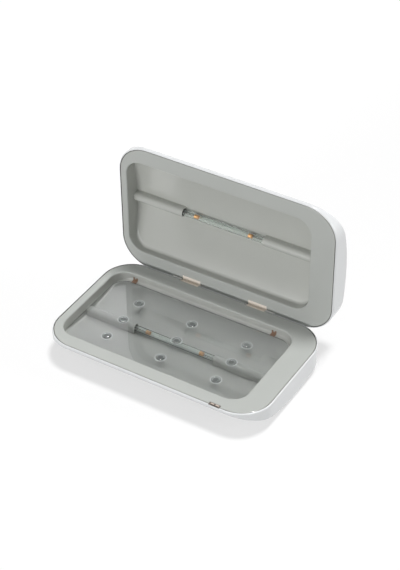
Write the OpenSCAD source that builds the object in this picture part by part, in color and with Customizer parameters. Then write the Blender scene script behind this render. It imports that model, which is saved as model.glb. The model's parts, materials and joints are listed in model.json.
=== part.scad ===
// Clamshell lamp box that a phone lies in, stored with its lid standing open.
// Lengths are in mm. +Z is up, +X is to the right and the hinge is at the back (+Y).
// The origin is the middle of the open box's footprint, on the surface it stands on.
//
// Both halves are drawn in one half frame: x to the right, y towards the hinge, and
// z = 0 at the rim with depth going down. on_base() and on_lid() put them in place.

/* [Box] */
// Width of the closed box
box_w = 183; // [170:1:200]
// Depth of the closed box, front to hinge side
box_d = 110; // [104:1:116]
// Corner radius of the outline
corner_r = 25; // [22:0.5:28]
// Depth of one half at its deepest line
crown_depth = 19.7; // [19.2:0.1:22]
// Distance of the deepest line behind the middle of the box
crown_line_y = 5; // [0:0.5:8]
// Height of one half's wall at the front edge
front_edge_h = 3.5; // [3.4:0.1:4.5]
// Height of one half's wall at the hinge edge
rear_edge_h = 11.9; // [11:0.1:14]
// Wall of the outer shells
shell_wall = 1.6; // [1.4:0.1:2]
// Gap between the two rims when the lid is closed
closing_gap = 0.4; // [0.3:0.1:0.8]
// Angle of the open lid, from closed
open_angle = 90; // [80:1:95]

/* [Liners] */
// Width of the shell's lip that shows outside the groove
lip_w = 0.9; // [0.7:0.1:1.1]
// Width of the groove between the lip and the liner's rim
groove_w = 0.5; // [0.3:0.1:0.6]
// Thickness of the liner's rim
rim_t = 1.4; // [1.2:0.1:1.5]
// Rim of the base liner at the left of its opening
base_rim_left = 7.3; // [6.5:0.1:9]
// Rim of the base liner at the right of its opening
base_rim_right = 19.4; // [17:0.1:22]
// Rim of the base liner in front of its opening
base_rim_front = 12.3; // [12:0.1:14]
// Rim of the base liner behind its opening
base_rim_rear = 13.6; // [13:0.1:15]
// Rim of the lid liner at the left of its opening
lid_rim_left = 6.6; // [6.3:0.1:9]
// Rim of the lid liner at the right of its opening
lid_rim_right = 20.6; // [17:0.1:22]
// Rim of the lid liner at the free edge
lid_rim_front = 14; // [12:0.1:15]
// Rim of the lid liner at the hinge edge
lid_rim_rear = 14; // [13:0.1:15]
// Corner radius of the openings
opening_r = 12.9; // [11:0.1:15]
// Thickness of the cavity walls
tub_wall = 1.3; // [1:0.1:1.6]
// Thickness of the cavity floors
floor_t = 0.8; // [0.7:0.1:1]
// Space between a cavity's floor and the shell at the deepest line
under_room = 2.7; // [2.4:0.1:3]
// Space between a cavity's floor and the shell at the front wall
edge_room = 0.35; // [0.35:0.05:0.5]
// Radius of the shell's rounded edge at the rim
edge_r = 1.2; // [0.8:0.1:1.4]
// Radius of the liner's rounded edge at the groove
groove_edge_r = 0.5; // [0.3:0.1:0.7]
// Radius of the liner's rounded edge round its opening
opening_edge_r = 1; // [0.6:0.1:1.1]

/* [Lamps] */
// Radius of the glass tubes
tube_r = 2.4; // [2.1:0.1:2.5]
// Wall of the glass tubes
tube_wall = 0.5; // [0.3:0.1:0.7]
// Middle of the lamps along the box
lamp_x = -7.4; // [-9:0.1:-5]
// Middle of the lamps across the box
lamp_y = -1.3; // [-3:0.1:1]
// Height of the lamps' axis above the cavity floors
lamp_lift = 3.3; // [3.1:0.1:3.3]
// Length of the bare tube between the shrouds
lamp_bare_l = 68.6; // [60:0.2:76]
// Distance between the two electrodes
electrode_pitch = 46.6; // [40:0.2:50]
// Radius of an electrode cup
electrode_r = 1.45; // [1:0.05:1.5]
// Length of an electrode cup
electrode_l = 3.6; // [2:0.1:5]
// Radius of the lead in the tube
lead_r = 0.3; // [0.2:0.05:0.4]
// Outside radius of the shrouds over the tube ends
shroud_r = 3.5; // [3.4:0.05:3.6]
// Radius of the tunnel in the shrouds
shroud_bore_r = 2.85; // [2.75:0.05:2.9]
// Length of a rubber end cap
cap_l = 7; // [6:0.5:10]
// Depth that the tube goes into its end cap
cap_grip = 5; // [3:0.5:5.5]

/* [Clear plate] */
// Thickness of the plate
plate_t = 1; // [0.8:0.1:1.2]
// Gap between the plate and the lamp's shrouds
plate_gap = 0.4; // [0.3:0.1:0.6]
// Gap between the plate and the cavity's end walls
plate_end_gap = 1.5; // [1:0.1:3]
// Gap between the plate and the cavity's front and rear walls
plate_side_gap = 2.9; // [2.8:0.1:4]
// Distance between the bumps along the box
bump_pitch_x = 47; // [35:0.5:52]
// Distance between the bumps across the box
bump_pitch_y = 21.8; // [16:0.2:26]
// Middle of the bumps along the box
bump_x = -5.2; // [-8:0.1:-3]
// Middle of the bumps across the box
bump_y = -2.5; // [-4:0.1:1]
// Radius of a bump
bump_r = 3.4; // [2.5:0.1:4]
// Height of a bump
bump_h = 1.4; // [0.8:0.1:1.6]
// Width of a plate clip
clip_w = 4; // [3:0.5:6]
// Thickness of a plate clip
clip_t = 0.4; // [0.3:0.1:0.6]
// Length of a clip's foot over the plate
clip_foot = 3.4; // [3.2:0.1:5]
// Height of a clip's leg up the wall
clip_leg = 2.8; // [2:0.1:4]
// Distance of the left clip from the cavity's left wall
clip_left = 14.6; // [13:0.1:20]
// Distance of the right clip from the cavity's right wall
clip_right = 19.7; // [14:0.1:24]

/* [Hinges] */
// Distance of the hinge axis in front of the box's rear wall
hinge_inset = 1.33; // [1.2:0.01:1.5]
// Depth of the hinge axis under the base's rim
hinge_drop = 3.3; // [3.2:0.05:3.6]
// Radius of the hinge barrels
barrel_r = 2; // [1.8:0.05:2.05]
// Clearance round the turning barrels
barrel_gap = 0.3; // [0.25:0.05:0.4]
// Radius of the hinge pins
pin_r = 0.8; // [0.7:0.05:0.9]
// Radial running clearance of the hinge pins
pin_fit = 0.04; // [0.02:0.01:0.08]
// Distance of a lid tab's inner end from the middle of the box
tab_x = 21; // [18:0.5:24]
// Width of a lid tab
tab_w = 15.8; // [12:0.2:18]
// Width of a base knuckle
knuckle_w = 7.4; // [6:0.2:9]
// Reach of a base knuckle behind the axis
knuckle_rear = 2.3; // [2.1:0.05:2.35]
// Distance of a base knuckle's top under the rim
knuckle_drop = 0.7; // [0.65:0.05:0.9]
// Gap between a tab and its knuckle
tab_gap = 0.3; // [0.25:0.05:0.4]
// Thickness of a tab's arm in front of the axis
arm_front = 1; // [0.9:0.05:1.1]
// Thickness of a tab's arm behind the axis
arm_rear = 1; // [0.8:0.05:1.1]
// Reach of a tab's pad in front of the axis, level with the lid's rim
pad_front = 2.7; // [2.2:0.1:3]
// Reach of a tab's stop ear in front of the axis
ear_l = 3.2; // [3:0.1:3.6]
// Thickness of a tab's stop ear
ear_t = 1; // [0.8:0.1:1.2]
// Thickness of a tab's mounting plate
tab_plate_t = 1.6; // [1.2:0.1:2]
// Reach of a tab's mounting plate in front of the axis
tab_plate_l = 8.6; // [7:0.2:9]
// Radius of the stakes that hold a tab
stake_r = 1; // [0.8:0.1:1.2]

/* [Lid switch] */
// Middle of the lid switch along the box
switch_x = 58; // [54:0.5:62]
// Width of the switch's bezel
bezel_w = 8.8; // [8:0.1:10]
// Front to back size of the bezel
bezel_d = 2.6; // [2.4:0.1:3]
// Distance of the bezel behind the front edge
bezel_inset = 0.55; // [0.5:0.05:0.7]
// Width of one prong of the switch's plunger
prong_w = 2.8; // [2:0.1:3.2]
// Front to back size of a prong
prong_d = 1.1; // [0.9:0.1:1.3]
// Distance between the two prongs, middle to middle
prong_pitch = 4; // [3.6:0.1:4.4]
// Height of the prongs above the rim
prong_up = 0.25; // [0.1:0.05:0.25]
// Travel of the plunger
plunger_travel = 0.5; // [0.3:0.05:0.5]
// Thickness of the plunger's bar
plunger_bar_t = 0.7; // [0.5:0.1:0.8]
// Clearance of sliding and seated trim
slide_gap = 0.15; // [0.1:0.05:0.2]

/* [Inside parts] */
// Radius of a rubber foot
foot_r = 5.5; // [4:0.5:7]
// Distance that the feet lift the shell off the surface
foot_lift = 1.5; // [1:0.1:3]
// Distance of the feet from the middle of the box along its width
foot_x = 60; // [50:1:66]
// Distance of the feet's middle behind the middle of the box
foot_mid_y = 7; // [4:0.5:9]
// Distance between the front and rear feet
foot_pitch_y = 58; // [50:1:60]
// Radius of a screw's shaft
screw_r = 1; // [0.8:0.05:1.1]
// Radius of a screw's head
screw_head_r = 1.75; // [1.6:0.05:1.85]
// Thickness of a screw's head
screw_head_h = 1.1; // [0.9:0.1:1.2]
// Radius of the posts and bosses that the screws join
post_r = 2.45; // [2.3:0.05:2.5]
// Width of the control board
board_w = 13.6; // [12:0.2:14]
// Length of the control board
board_l = 60; // [56:1:62]
// Thickness of the control board
board_t = 1.6; // [1:0.1:1.6]
// Depth of the control board's upper face
board_depth = 9.9; // [9.5:0.1:10.2]
// Depth of the middle of the sockets in the rear wall
socket_depth = 7.2; // [6.8:0.1:7.4]
// Distance of the power jack from the middle of the box
jack_x = 57; // [54:0.5:60]
// Radius of the power jack's hole
jack_bore_r = 1.85; // [1.7:0.05:2]
// Distance of the charging socket from the middle of the box
usb_x = -57; // [-60:0.5:-54]
// Width of a ballast transformer
transformer_w = 10; // [8:0.5:12]
// Length of a ballast transformer along the board
transformer_l = 12; // [9:0.5:12]
// Height of a ballast transformer
transformer_h = 6.4; // [5:0.1:6.8]
// Radius of the wires
wire_r = 0.7; // [0.5:0.05:0.75]
// Distance of the lamp leads behind the deepest line
lead_run_y = 10; // [8:1:14]
// Radius of the status light's lens
lens_r = 2.2; // [1.5:0.1:3]

/* [Hidden] */
$fn = 48;
arc_fn = 360;
over = 1;

half_w = box_w / 2;
half_d = box_d / 2;

// Two arcs that share the deepest line make the curved underside
front_run = half_d + crown_line_y;
rear_run = half_d - crown_line_y;
front_rise = crown_depth - front_edge_h;
rear_rise = crown_depth - rear_edge_h;
front_arc_r = (front_run * front_run + front_rise * front_rise) / (2 * front_rise);
rear_arc_r = (rear_run * rear_run + rear_rise * rear_rise) / (2 * rear_rise);
function crown_at(y) =
    let (r = y < crown_line_y ? front_arc_r : rear_arc_r, run = y - crown_line_y)
    crown_depth - r + sqrt(r * r - run * run);

// Openings, as [left, front, right, rear] in the half frame
base_opening = [-half_w + base_rim_left, -half_d + base_rim_front,
                half_w - base_rim_right, half_d - base_rim_rear];
lid_opening = [-half_w + lid_rim_left, -half_d + lid_rim_front,
               half_w - lid_rim_right, half_d - lid_rim_rear];

// One arc makes a cavity's floor
floor_depth = crown_depth - shell_wall - under_room - floor_t;
floor_edge_depth = crown_at(base_opening[1] - tub_wall) - shell_wall - floor_t - edge_room;
lamp_depth = floor_depth - lamp_lift;
plate_depth = lamp_depth - shroud_r - plate_gap - plate_t;
floor_y = (base_opening[1] + base_opening[3]) / 2;
floor_run = (base_opening[3] - base_opening[1]) / 2;
floor_rise = floor_depth - floor_edge_depth;
floor_arc_r = (floor_run * floor_run + floor_rise * floor_rise) / (2 * floor_rise);
function floor_at(y) =
    floor_depth - floor_arc_r + sqrt(floor_arc_r * floor_arc_r - pow(y - floor_y, 2));

// Hinge axis in the half frame
hinge_y = half_d - hinge_inset;
hinge_z = -hinge_drop;
barrel_room = barrel_r + barrel_gap;
knuckle_x = tab_x + tab_w + tab_gap;
knuckle_end = knuckle_x + knuckle_w;
pocket_front = hinge_y - barrel_room;
rim_inset = lip_w + groove_w;
ear_room = sqrt(ear_l * ear_l + ear_t * ear_t) + barrel_gap;
stop_gap = 0.05;

// Place of the half frame: the open box's footprint is centred on the origin
rim_z = crown_depth + foot_lift;
back_y = hinge_y + hinge_drop + closing_gap + crown_depth;
base_y = -(back_y - half_d) / 2;

// Screws and posts lie on the corner diagonals, between the shell and the cavity
post_run = (corner_r - 5) * sin(45);
post_x = half_w - corner_r + post_run;
post_y = half_d - corner_r + post_run;
boss_h = 3.1;
recess_h = 1.9;
seat_gap = 0.1;

lamp_left = base_opening[0] - tub_wall;
shroud_left_end = lamp_x - lamp_bare_l / 2;
shroud_right_end = lamp_x + lamp_bare_l / 2;

board_x = half_w - shell_wall - 1.6 - board_w / 2;
board_y = 3;
board_boss_y = board_l / 2 - 4;
board_boss_r = 2.2;
board_screw_l = 1.6;

bezel_y = -half_d + bezel_inset + bezel_d / 2;
prong_y = bezel_y + (bezel_d - prong_d) / 2 - 0.4;
plunger_top = rim_t + slide_gap;
switch_front = bezel_y + bezel_d / 2 + 1.6;

elbow_r = 1.45 * wire_r;
lead_y = crown_line_y + lead_run_y;
under_z = -(floor_depth + floor_t + wire_r + 0.2);
foot_ys = [foot_mid_y - foot_pitch_y / 2, foot_mid_y + foot_pitch_y / 2];

shell_colour = [0.93, 0.94, 0.95];
liner_colour = [0.72, 0.73, 0.72];
glass_colour = [0.75, 0.88, 0.86, 0.35];
copper_colour = [0.72, 0.45, 0.3];
cream_colour = [0.9, 0.85, 0.8];
rubber_colour = [0.2, 0.2, 0.21];
steel_colour = [0.7, 0.71, 0.73];
board_colour = [0.12, 0.4, 0.22];

// Places a half frame as the base
module on_base() {
    translate([0, base_y, rim_z]) children();
}

// Turns what is drawn as closed to the open lid's place
module swing_open() {
    translate([0, hinge_y, hinge_z]) rotate([-open_angle, 0, 0])
        translate([0, -hinge_y, -hinge_z]) children();
}

// Places a half frame as the lid
module on_lid() {
    on_base() swing_open() translate([0, 0, closing_gap]) mirror([0, 0, 1]) children();
}

// Extrudes a section drawn in (y, z) along X
module along_x(x0, x1) {
    translate([x0, 0, 0]) rotate([90, 0, 90]) linear_extrude(x1 - x0) children();
}

// A box between two corners
module span(low, high) {
    translate(low) cube(high - low);
}

module rounded_rect(low, high, r) {
    translate([low[0] + r, low[1]]) square([high[0] - low[0] - 2 * r, high[1] - low[1]]);
    translate([low[0], low[1] + r]) square([high[0] - low[0], high[1] - low[1] - 2 * r]);
    for (x = [low[0] + r, high[0] - r], y = [low[1] + r, high[1] - r])
        translate([x, y]) circle(r, $fn = 96);
}

module box_outline(inset = 0) {
    rounded_rect([-half_w + inset, -half_d + inset], [half_w - inset, half_d - inset],
                 corner_r - inset);
}

module opening_outline(opening, grow = 0) {
    rounded_rect([opening[0] - grow, opening[1] - grow], [opening[2] + grow, opening[3] + grow],
                 opening_r + grow);
}

// What a rounded edge takes off the top of a rounded rectangle, of corner radius r_out
module edge_cut(low, high, r_out, r, outside = true) {
    side = outside ? 1 : -1;
    for (turn = [0, 1], end = [0, 1]) {
        length = turn == 0 ? high[0] - low[0] - 2 * r_out : high[1] - low[1] - 2 * r_out;
        mid = (low + high) / 2;
        half = turn == 0 ? (high[1] - low[1]) / 2 : (high[0] - low[0]) / 2;
        translate([mid[0], mid[1], 0]) rotate([0, 0, 90 * turn + 180 * end])
            rotate([90, 0, 90]) translate([0, 0, -length / 2]) linear_extrude(length)
                translate([half, 0]) edge_section(r, side);
    }
    for (x = [0, 1], y = [0, 1])
        translate([x == 0 ? low[0] + r_out : high[0] - r_out, y == 0 ? low[1] + r_out : high[1] - r_out, 0])
            rotate([0, 0, x == 0 ? (y == 0 ? 180 : 90) : (y == 0 ? 270 : 0)])
                rotate_extrude(angle = 90, $fn = 96) translate([r_out, 0]) edge_section(r, side);
}

// Section of an edge cut: the corner at (0, 0) outside a quarter circle
module edge_section(r, side) {
    difference() {
        translate([side > 0 ? -r : -over, -r]) square([r + over, r + over]);
        translate([-side * r, -r]) circle(r);
        translate([side > 0 ? -r - over : r, -r - over]) square([over, r + 3 * over]);
        translate([-r - over, -r - over]) square([2 * r + 2 * over, over]);
    }
}

// Section above the curved underside, raised by lift
module crown_section(lift = 0) {
    intersection() {
        translate([crown_line_y, front_arc_r - crown_depth])
            circle(front_arc_r - lift, $fn = arc_fn);
        translate([-half_d - over, -crown_depth - over])
            square([front_run + over, crown_depth + 2 * over]);
    }
    intersection() {
        translate([crown_line_y, rear_arc_r - crown_depth])
            circle(rear_arc_r - lift, $fn = arc_fn);
        translate([crown_line_y, -crown_depth - over])
            square([rear_run + over, crown_depth + 2 * over]);
    }
}

// Section above a cavity's floor, sunk by drop
module floor_section(drop = 0) {
    intersection() {
        translate([floor_y, floor_arc_r - floor_depth])
            circle(floor_arc_r + drop, $fn = arc_fn);
        translate([-half_d, -crown_depth]) square([box_d, crown_depth + over]);
    }
}

// The solid between the rim and the curved underside
module crowned_body(inset, lift, top) {
    intersection() {
        translate([0, 0, -crown_depth - over])
            linear_extrude(crown_depth + over + top) box_outline(inset);
        along_x(-half_w, half_w) crown_section(lift);
    }
}

// Where a tab's barrel turns under the rim, and its arm stands when the lid is closed
module barrel_room_section() {
    translate([hinge_y, hinge_z]) circle(barrel_room);
    translate([hinge_y - arm_front - tab_gap, hinge_z]) square([2 * barrel_room + over, hinge_drop + over]);
}

// Where a knuckle passes through the rear wall, under the lip
module knuckle_room_section() {
    translate([hinge_y - 2 * barrel_room, hinge_z - barrel_room])
        square([4 * barrel_room, -rim_t - seat_gap - hinge_z + barrel_room]);
}

// A knuckle: round below, and square above where it stands behind the lip
module knuckle_section() {
    under_lip = -rim_t - seat_gap - 0.05;
    difference() {
        union() {
            translate([hinge_y, hinge_z]) circle(barrel_r);
            translate([hinge_y, hinge_z]) square([knuckle_rear, hinge_drop - knuckle_drop]);
        }
        translate([hinge_y - 2 * barrel_r, under_lip]) square([2 * barrel_r + hinge_inset + 0.05, hinge_drop]);
    }
}

// Where a tab's ear swings: it meets the top of this room when the lid is open
module ear_room_section() {
    translate([hinge_y, hinge_z]) intersection() {
        circle(ear_room);
        translate([-ear_room, -ear_room]) square([ear_room, ear_room + ear_t + stop_gap]);
    }
}

module at_posts() {
    for (x = [-post_x, post_x], y = [-post_y, post_y]) translate([x, y, 0]) children();
}

// Bosses that stand on the shell's floor under the liner's posts
module post_bosses() {
    for (x = [-post_x, post_x], y = [-post_y, post_y])
        intersection() {
            translate([x, y, -crown_depth]) cylinder(r = post_r, h = crown_depth - crown_at(y) + boss_h);
            along_x(-half_w, half_w) crown_section(shell_wall / 2);
        }
}

// Shell of one half, hollow, with a seat for the liner's rim
module half_shell() {
    difference() {
        crowned_body(0, 0, 0);
        crowned_body(shell_wall, shell_wall, over);
        translate([0, 0, -rim_t - seat_gap])
            linear_extrude(rim_t + seat_gap + over) box_outline(lip_w);
        edge_cut([-half_w, -half_d], [half_w, half_d], corner_r, edge_r);
    }
}

// Liner of one half: rim, cavity with a curved floor, and shrouds over the lamp's ends
module half_liner(opening) {
    difference() {
        union() {
            translate([0, 0, -rim_t]) linear_extrude(rim_t) box_outline(rim_inset);
            intersection() {
                translate([0, 0, -crown_depth]) linear_extrude(crown_depth)
                    opening_outline(opening, tub_wall);
                along_x(-half_w, half_w) floor_section(floor_t);
            }
        }
        difference() {
            intersection() {
                translate([0, 0, -crown_depth]) linear_extrude(crown_depth + over)
                    opening_outline(opening);
                along_x(-half_w, half_w) floor_section();
            }
            shroud_body(opening[0] - over, shroud_left_end);
            shroud_body(shroud_right_end, opening[2] + over);
        }
        edge_cut([-half_w + rim_inset, -half_d + rim_inset], [half_w - rim_inset, half_d - rim_inset],
                 corner_r - rim_inset, groove_edge_r);
        edge_cut([opening[0], opening[1]], [opening[2], opening[3]], opening_r, opening_edge_r, false);
        shroud_tunnel(opening[0] - tub_wall - over, shroud_left_end + over);
        shroud_tunnel(shroud_right_end - over, opening[2] + tub_wall + over);
    }
}

module shroud_body(x0, x1) {
    along_x(x0, x1) {
        translate([lamp_y, -lamp_depth]) circle(shroud_r);
        translate([lamp_y - shroud_r, -crown_depth]) square([2 * shroud_r, crown_depth - lamp_depth]);
    }
}

module shroud_tunnel(x0, x1) {
    along_x(x0, x1) translate([lamp_y, -lamp_depth]) circle(shroud_bore_r);
}

// Lamp pieces share these ends, just inside the cavity's end walls
function lamp_ends(opening) = [opening[0] + cap_l - cap_grip, opening[2] - cap_l + cap_grip];

module lamp_tube(opening) {
    ends = lamp_ends(opening);
    along_x(ends[0], ends[1]) translate([lamp_y, -lamp_depth]) difference() {
        circle(tube_r);
        circle(tube_r - tube_wall);
    }
}

module lamp_electrodes(opening) {
    ends = lamp_ends(opening);
    cup_left = lamp_x - electrode_pitch / 2;
    cup_right = lamp_x + electrode_pitch / 2;
    for (run = [[ends[0] - 1, cup_left], [cup_right, ends[1] + 1]])
        along_x(run[0], run[1]) translate([lamp_y, -lamp_depth]) circle(lead_r, $fn = 24);
    for (x = [cup_left, cup_right])
        along_x(x - electrode_l / 2, x + electrode_l / 2) translate([lamp_y, -lamp_depth])
            circle(electrode_r);
}

module lamp_end_caps(opening) {
    ends = lamp_ends(opening);
    rims = [[opening[0], ends[0] + cap_grip, ends[0]], [ends[1] - cap_grip, opening[2], ends[1]]];
    for (side = [0, 1]) difference() {
        along_x(rims[side][0], rims[side][1]) translate([lamp_y, -lamp_depth])
            circle(shroud_bore_r - 0.05);
        along_x(side == 0 ? ends[0] - 0.05 : ends[1] - cap_grip - over,
                side == 0 ? ends[0] + cap_grip + over : ends[1] + 0.05)
            translate([lamp_y, -lamp_depth]) circle(tube_r + 0.03);
        along_x(rims[side][0] - over, rims[side][1] + over) translate([lamp_y, -lamp_depth])
            circle(lead_r + 0.05, $fn = 24);
    }
}

// A round wire through a list of points; its ball elbows cover where the runs cross
module wire(points) {
    for (i = [0 : len(points) - 2]) {
        step = points[i + 1] - points[i];
        length = norm(step);
        translate(points[i]) rotate([0, acos(step[2] / length), atan2(step[1], step[0])])
            cylinder(r = wire_r, h = length, $fn = 24);
    }
    for (i = [1 : len(points) - 2]) translate(points[i]) sphere(elbow_r, $fn = 24);
}

module base_outer_shell() {
    color(shell_colour) on_base() difference() {
        union() {
            half_shell();
            post_bosses();
            board_bosses();
        }
        for (side = [-1, 1]) mirror([side < 0 ? 1 : 0, 0, 0]) {
            along_x(tab_x - tab_gap, knuckle_x) {
                barrel_room_section();
                ear_room_section();
            }
            along_x(knuckle_x - over, knuckle_end + tab_gap) knuckle_room_section();
        }
        at_posts() translate([0, 0, -crown_depth - over]) cylinder(r = screw_r + 0.2, h = crown_depth + over);
        for (x = [-post_x, post_x], y = [-post_y, post_y])
            translate([x, y, -crown_depth - over])
                cylinder(r = screw_head_r + 0.2, h = crown_depth + over - crown_at(y) + recess_h);
        switch_pocket();
        translate([jack_x, half_d + over, -socket_depth]) rotate([90, 0, 0])
            cylinder(r = jack_bore_r + 1.35, h = shell_wall + 2 * over);
        along_y_slot(usb_x, usb_w + 0.4, usb_h + 0.4);
    }
}

module board_bosses() {
    top = -board_depth - board_t;
    for (y = [board_y - board_boss_y, board_y + board_boss_y])
        difference() {
            intersection() {
                translate([board_x, y, -crown_depth]) cylinder(r = board_boss_r, h = crown_depth + top);
                along_x(-half_w, half_w) crown_section(shell_wall / 2);
            }
            translate([board_x, y, top - board_screw_l]) cylinder(r = screw_r + 0.05, h = board_screw_l + over);
        }
}

// Room for the lid switch under the base's front rim
module switch_pocket() {
    half = bezel_w / 2 + slide_gap;
    span([switch_x - half, -half_d + bezel_inset - slide_gap, -plunger_top - plunger_bar_t - plunger_travel - 0.1],
         [switch_x + half, bezel_y + bezel_d / 2 + slide_gap + 0.4, over]);
}

usb_w = 9;
usb_h = 3.3;

// A slot with round ends through the rear wall
module along_y_slot(x, w, h) {
    for (side = [-1, 1]) translate([x + side * (w - h) / 2, half_d + over, -socket_depth])
        rotate([90, 0, 0]) cylinder(r = h / 2, h = shell_wall + 2 * over);
    span([x - (w - h) / 2, half_d - shell_wall - over, -socket_depth - h / 2],
         [x + (w - h) / 2, half_d + over, -socket_depth + h / 2]);
}

module base_liner() {
    color(liner_colour) on_base() difference() {
        union() {
            half_liner(base_opening);
            for (x = [-post_x, post_x], y = [-post_y, post_y])
                translate([x, y, -crown_at(y) + boss_h + seat_gap])
                    cylinder(r = post_r - 0.05, h = crown_at(y) - boss_h - seat_gap - rim_t / 2);
        }
        for (x = [-post_x, post_x], y = [-post_y, post_y])
            translate([x, y, -crown_depth]) cylinder(r = screw_r, h = crown_depth - rim_t);
        for (side = [-1, 1]) mirror([side < 0 ? 1 : 0, 0, 0])
            along_x(tab_x - tab_gap, knuckle_x) barrel_room_section();
        span([switch_x - bezel_w / 2 - slide_gap, -half_d, -rim_t - over],
             [switch_x + bezel_w / 2 + slide_gap, bezel_y + bezel_d / 2 + slide_gap, over]);
    }
}

module base_lamp_tube() {
    color(glass_colour) on_base() lamp_tube(base_opening);
}

module base_lamp_electrodes() {
    color(copper_colour) on_base() lamp_electrodes(base_opening);
}

module base_lamp_end_caps() {
    color(rubber_colour) on_base() lamp_end_caps(base_opening);
}

module clear_plate() {
    low = [base_opening[0] + plate_end_gap, base_opening[1] + plate_side_gap];
    high = [base_opening[2] - plate_end_gap, base_opening[3] - plate_side_gap];
    color(glass_colour) on_base() translate([0, 0, -plate_depth - plate_t])
        linear_extrude(plate_t) rounded_rect(low, high, opening_r - plate_end_gap);
}

// Nine clear domes that hold the phone off the plate
module plate_bumps() {
    dome_r = (bump_r * bump_r + bump_h * bump_h) / (2 * bump_h);
    color(glass_colour) on_base() for (i = [-1, 0, 1], j = [-1, 0, 1])
        translate([bump_x + i * bump_pitch_x, bump_y + j * bump_pitch_y, -plate_depth])
            rotate_extrude() intersection() {
                translate([0, bump_h - dome_r]) circle(dome_r, $fn = 96);
                square([bump_r, bump_h]);
            }
}

// Two springy strips, forked at the top, on the rear wall that hold the plate down
module plate_clips() {
    wall_y = base_opening[3];
    xs = [base_opening[0] + clip_left, base_opening[2] - clip_right];
    color(copper_colour) on_base() for (x = xs) {
        for (side = [-1, 1]) translate([x + side * clip_w / 3, wall_y - clip_t, -plate_depth])
            translate([-clip_w / 6, 0, 0]) cube([clip_w / 3, clip_t, clip_leg]);
        span([x - clip_w / 2, wall_y - clip_t, -plate_depth],
             [x + clip_w / 2, wall_y, -plate_depth + clip_leg / 2]);
        span([x - clip_w / 2, wall_y - clip_foot, -plate_depth],
             [x + clip_w / 2, wall_y, -plate_depth + clip_t]);
    }
}

module rubber_feet() {
    color(rubber_colour) on_base() for (x = [-foot_x, foot_x], y = foot_ys) difference() {
        translate([x, y, -rim_z]) cylinder(r1 = foot_r - 0.5, r2 = foot_r + 0.3, h = 8);
        crowned_body(0, -0.02, 0);
    }
}

module base_screws() {
    color(steel_colour) on_base() for (x = [-post_x, post_x], y = [-post_y, post_y])
        translate([x, y, -crown_at(y) + recess_h]) difference() {
            union() {
                translate([0, 0, -screw_head_h]) cylinder(r = screw_head_r, h = screw_head_h);
                translate([0, 0, -screw_head_h / 2]) cylinder(r = screw_r, h = screw_head_h / 2 + 4);
            }
            for (turn = [0, 90]) rotate([0, 0, turn]) translate([0, 0, -screw_head_h])
                cube([1.9, 0.45, 1], center = true);
        }
}

// Hinge blocks fixed in the base, each with one knuckle and a bore for the pin
module base_hinge_knuckles() {
    block_x = tab_x - tab_gap - 1.4;
    block_front = hinge_y - ear_room - 1.2;
    block_low = hinge_z - ear_room - 0.8;
    color(shell_colour) on_base() for (side = [-1, 1]) mirror([side < 0 ? 1 : 0, 0, 0])
        difference() {
            union() {
                along_x(block_x, knuckle_end)
                    translate([block_front, block_low])
                        square([half_d - shell_wall - 0.05 - block_front,
                                -rim_t - seat_gap - block_low]);
                along_x(knuckle_x, knuckle_end) knuckle_section();
            }
            along_x(tab_x - tab_gap, knuckle_x) {
                barrel_room_section();
                ear_room_section();
            }
            along_x(block_x - over, knuckle_end + over)
                translate([hinge_y, hinge_z]) circle(pin_r + pin_fit / 2);
        }
}

module hinge_pins() {
    color(steel_colour) on_base() for (side = [-1, 1]) mirror([side < 0 ? 1 : 0, 0, 0])
        along_x(tab_x, knuckle_end) translate([hinge_y, hinge_z]) circle(pin_r);
}

module control_board() {
    color(board_colour) on_base() difference() {
        translate([board_x, board_y, -board_depth - board_t / 2])
            cube([board_w, board_l, board_t], center = true);
        for (y = [board_y - board_boss_y, board_y + board_boss_y])
            translate([board_x, y, -board_depth - board_t - over]) cylinder(r = 1.1, h = board_t + 2 * over);
    }
}

// Ferrite cores with a wound bobbin between their cheeks, one for each lamp
module ballast_transformers() {
    cheek = transformer_l / 5;
    color([0.3, 0.27, 0.22]) on_base() for (y = [board_y - 15, board_y + 5])
        translate([board_x - transformer_w / 2, y - transformer_l / 2, -board_depth + seat_gap / 2]) {
            for (end = [0, transformer_l - cheek]) translate([0, end, 0])
                cube([transformer_w, cheek, transformer_h]);
            translate([transformer_w / 2, cheek, transformer_h / 2]) rotate([-90, 0, 0])
                cylinder(r = 0.45 * transformer_h, h = transformer_l - 2 * cheek);
            translate([0, cheek, 0]) cube([transformer_w, transformer_l - 2 * cheek, transformer_h / 6]);
        }
}

module ballast_capacitors() {
    color([0.15, 0.2, 0.35]) on_base() for (place = [[-3.2, 17, 2.9, 6.8], [3.6, 17, 2.2, 5.4]])
        translate([board_x + place[0], board_y + place[1], -board_depth + seat_gap / 2])
            cylinder(r = place[2], h = place[3]);
}

module board_chips() {
    color([0.12, 0.12, 0.13]) on_base() for (place = [[-2.4, -5.4, 5, 4], [2.6, -5.4, 3, 3]])
        translate([board_x + place[0], board_y + place[1], -board_depth + seat_gap / 2 + 0.7])
            cube([place[2], place[3], 1.4], center = true);
}

module board_screws() {
    color(steel_colour) on_base() for (y = [board_y - board_boss_y, board_y + board_boss_y])
        translate([board_x, y, -board_depth]) {
            translate([0, 0, 0.02]) cylinder(r = 1.9, h = 1);
            translate([0, 0, -board_t - board_screw_l + 0.1])
                cylinder(r = screw_r, h = board_t + board_screw_l + 0.4);
        }
}

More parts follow.
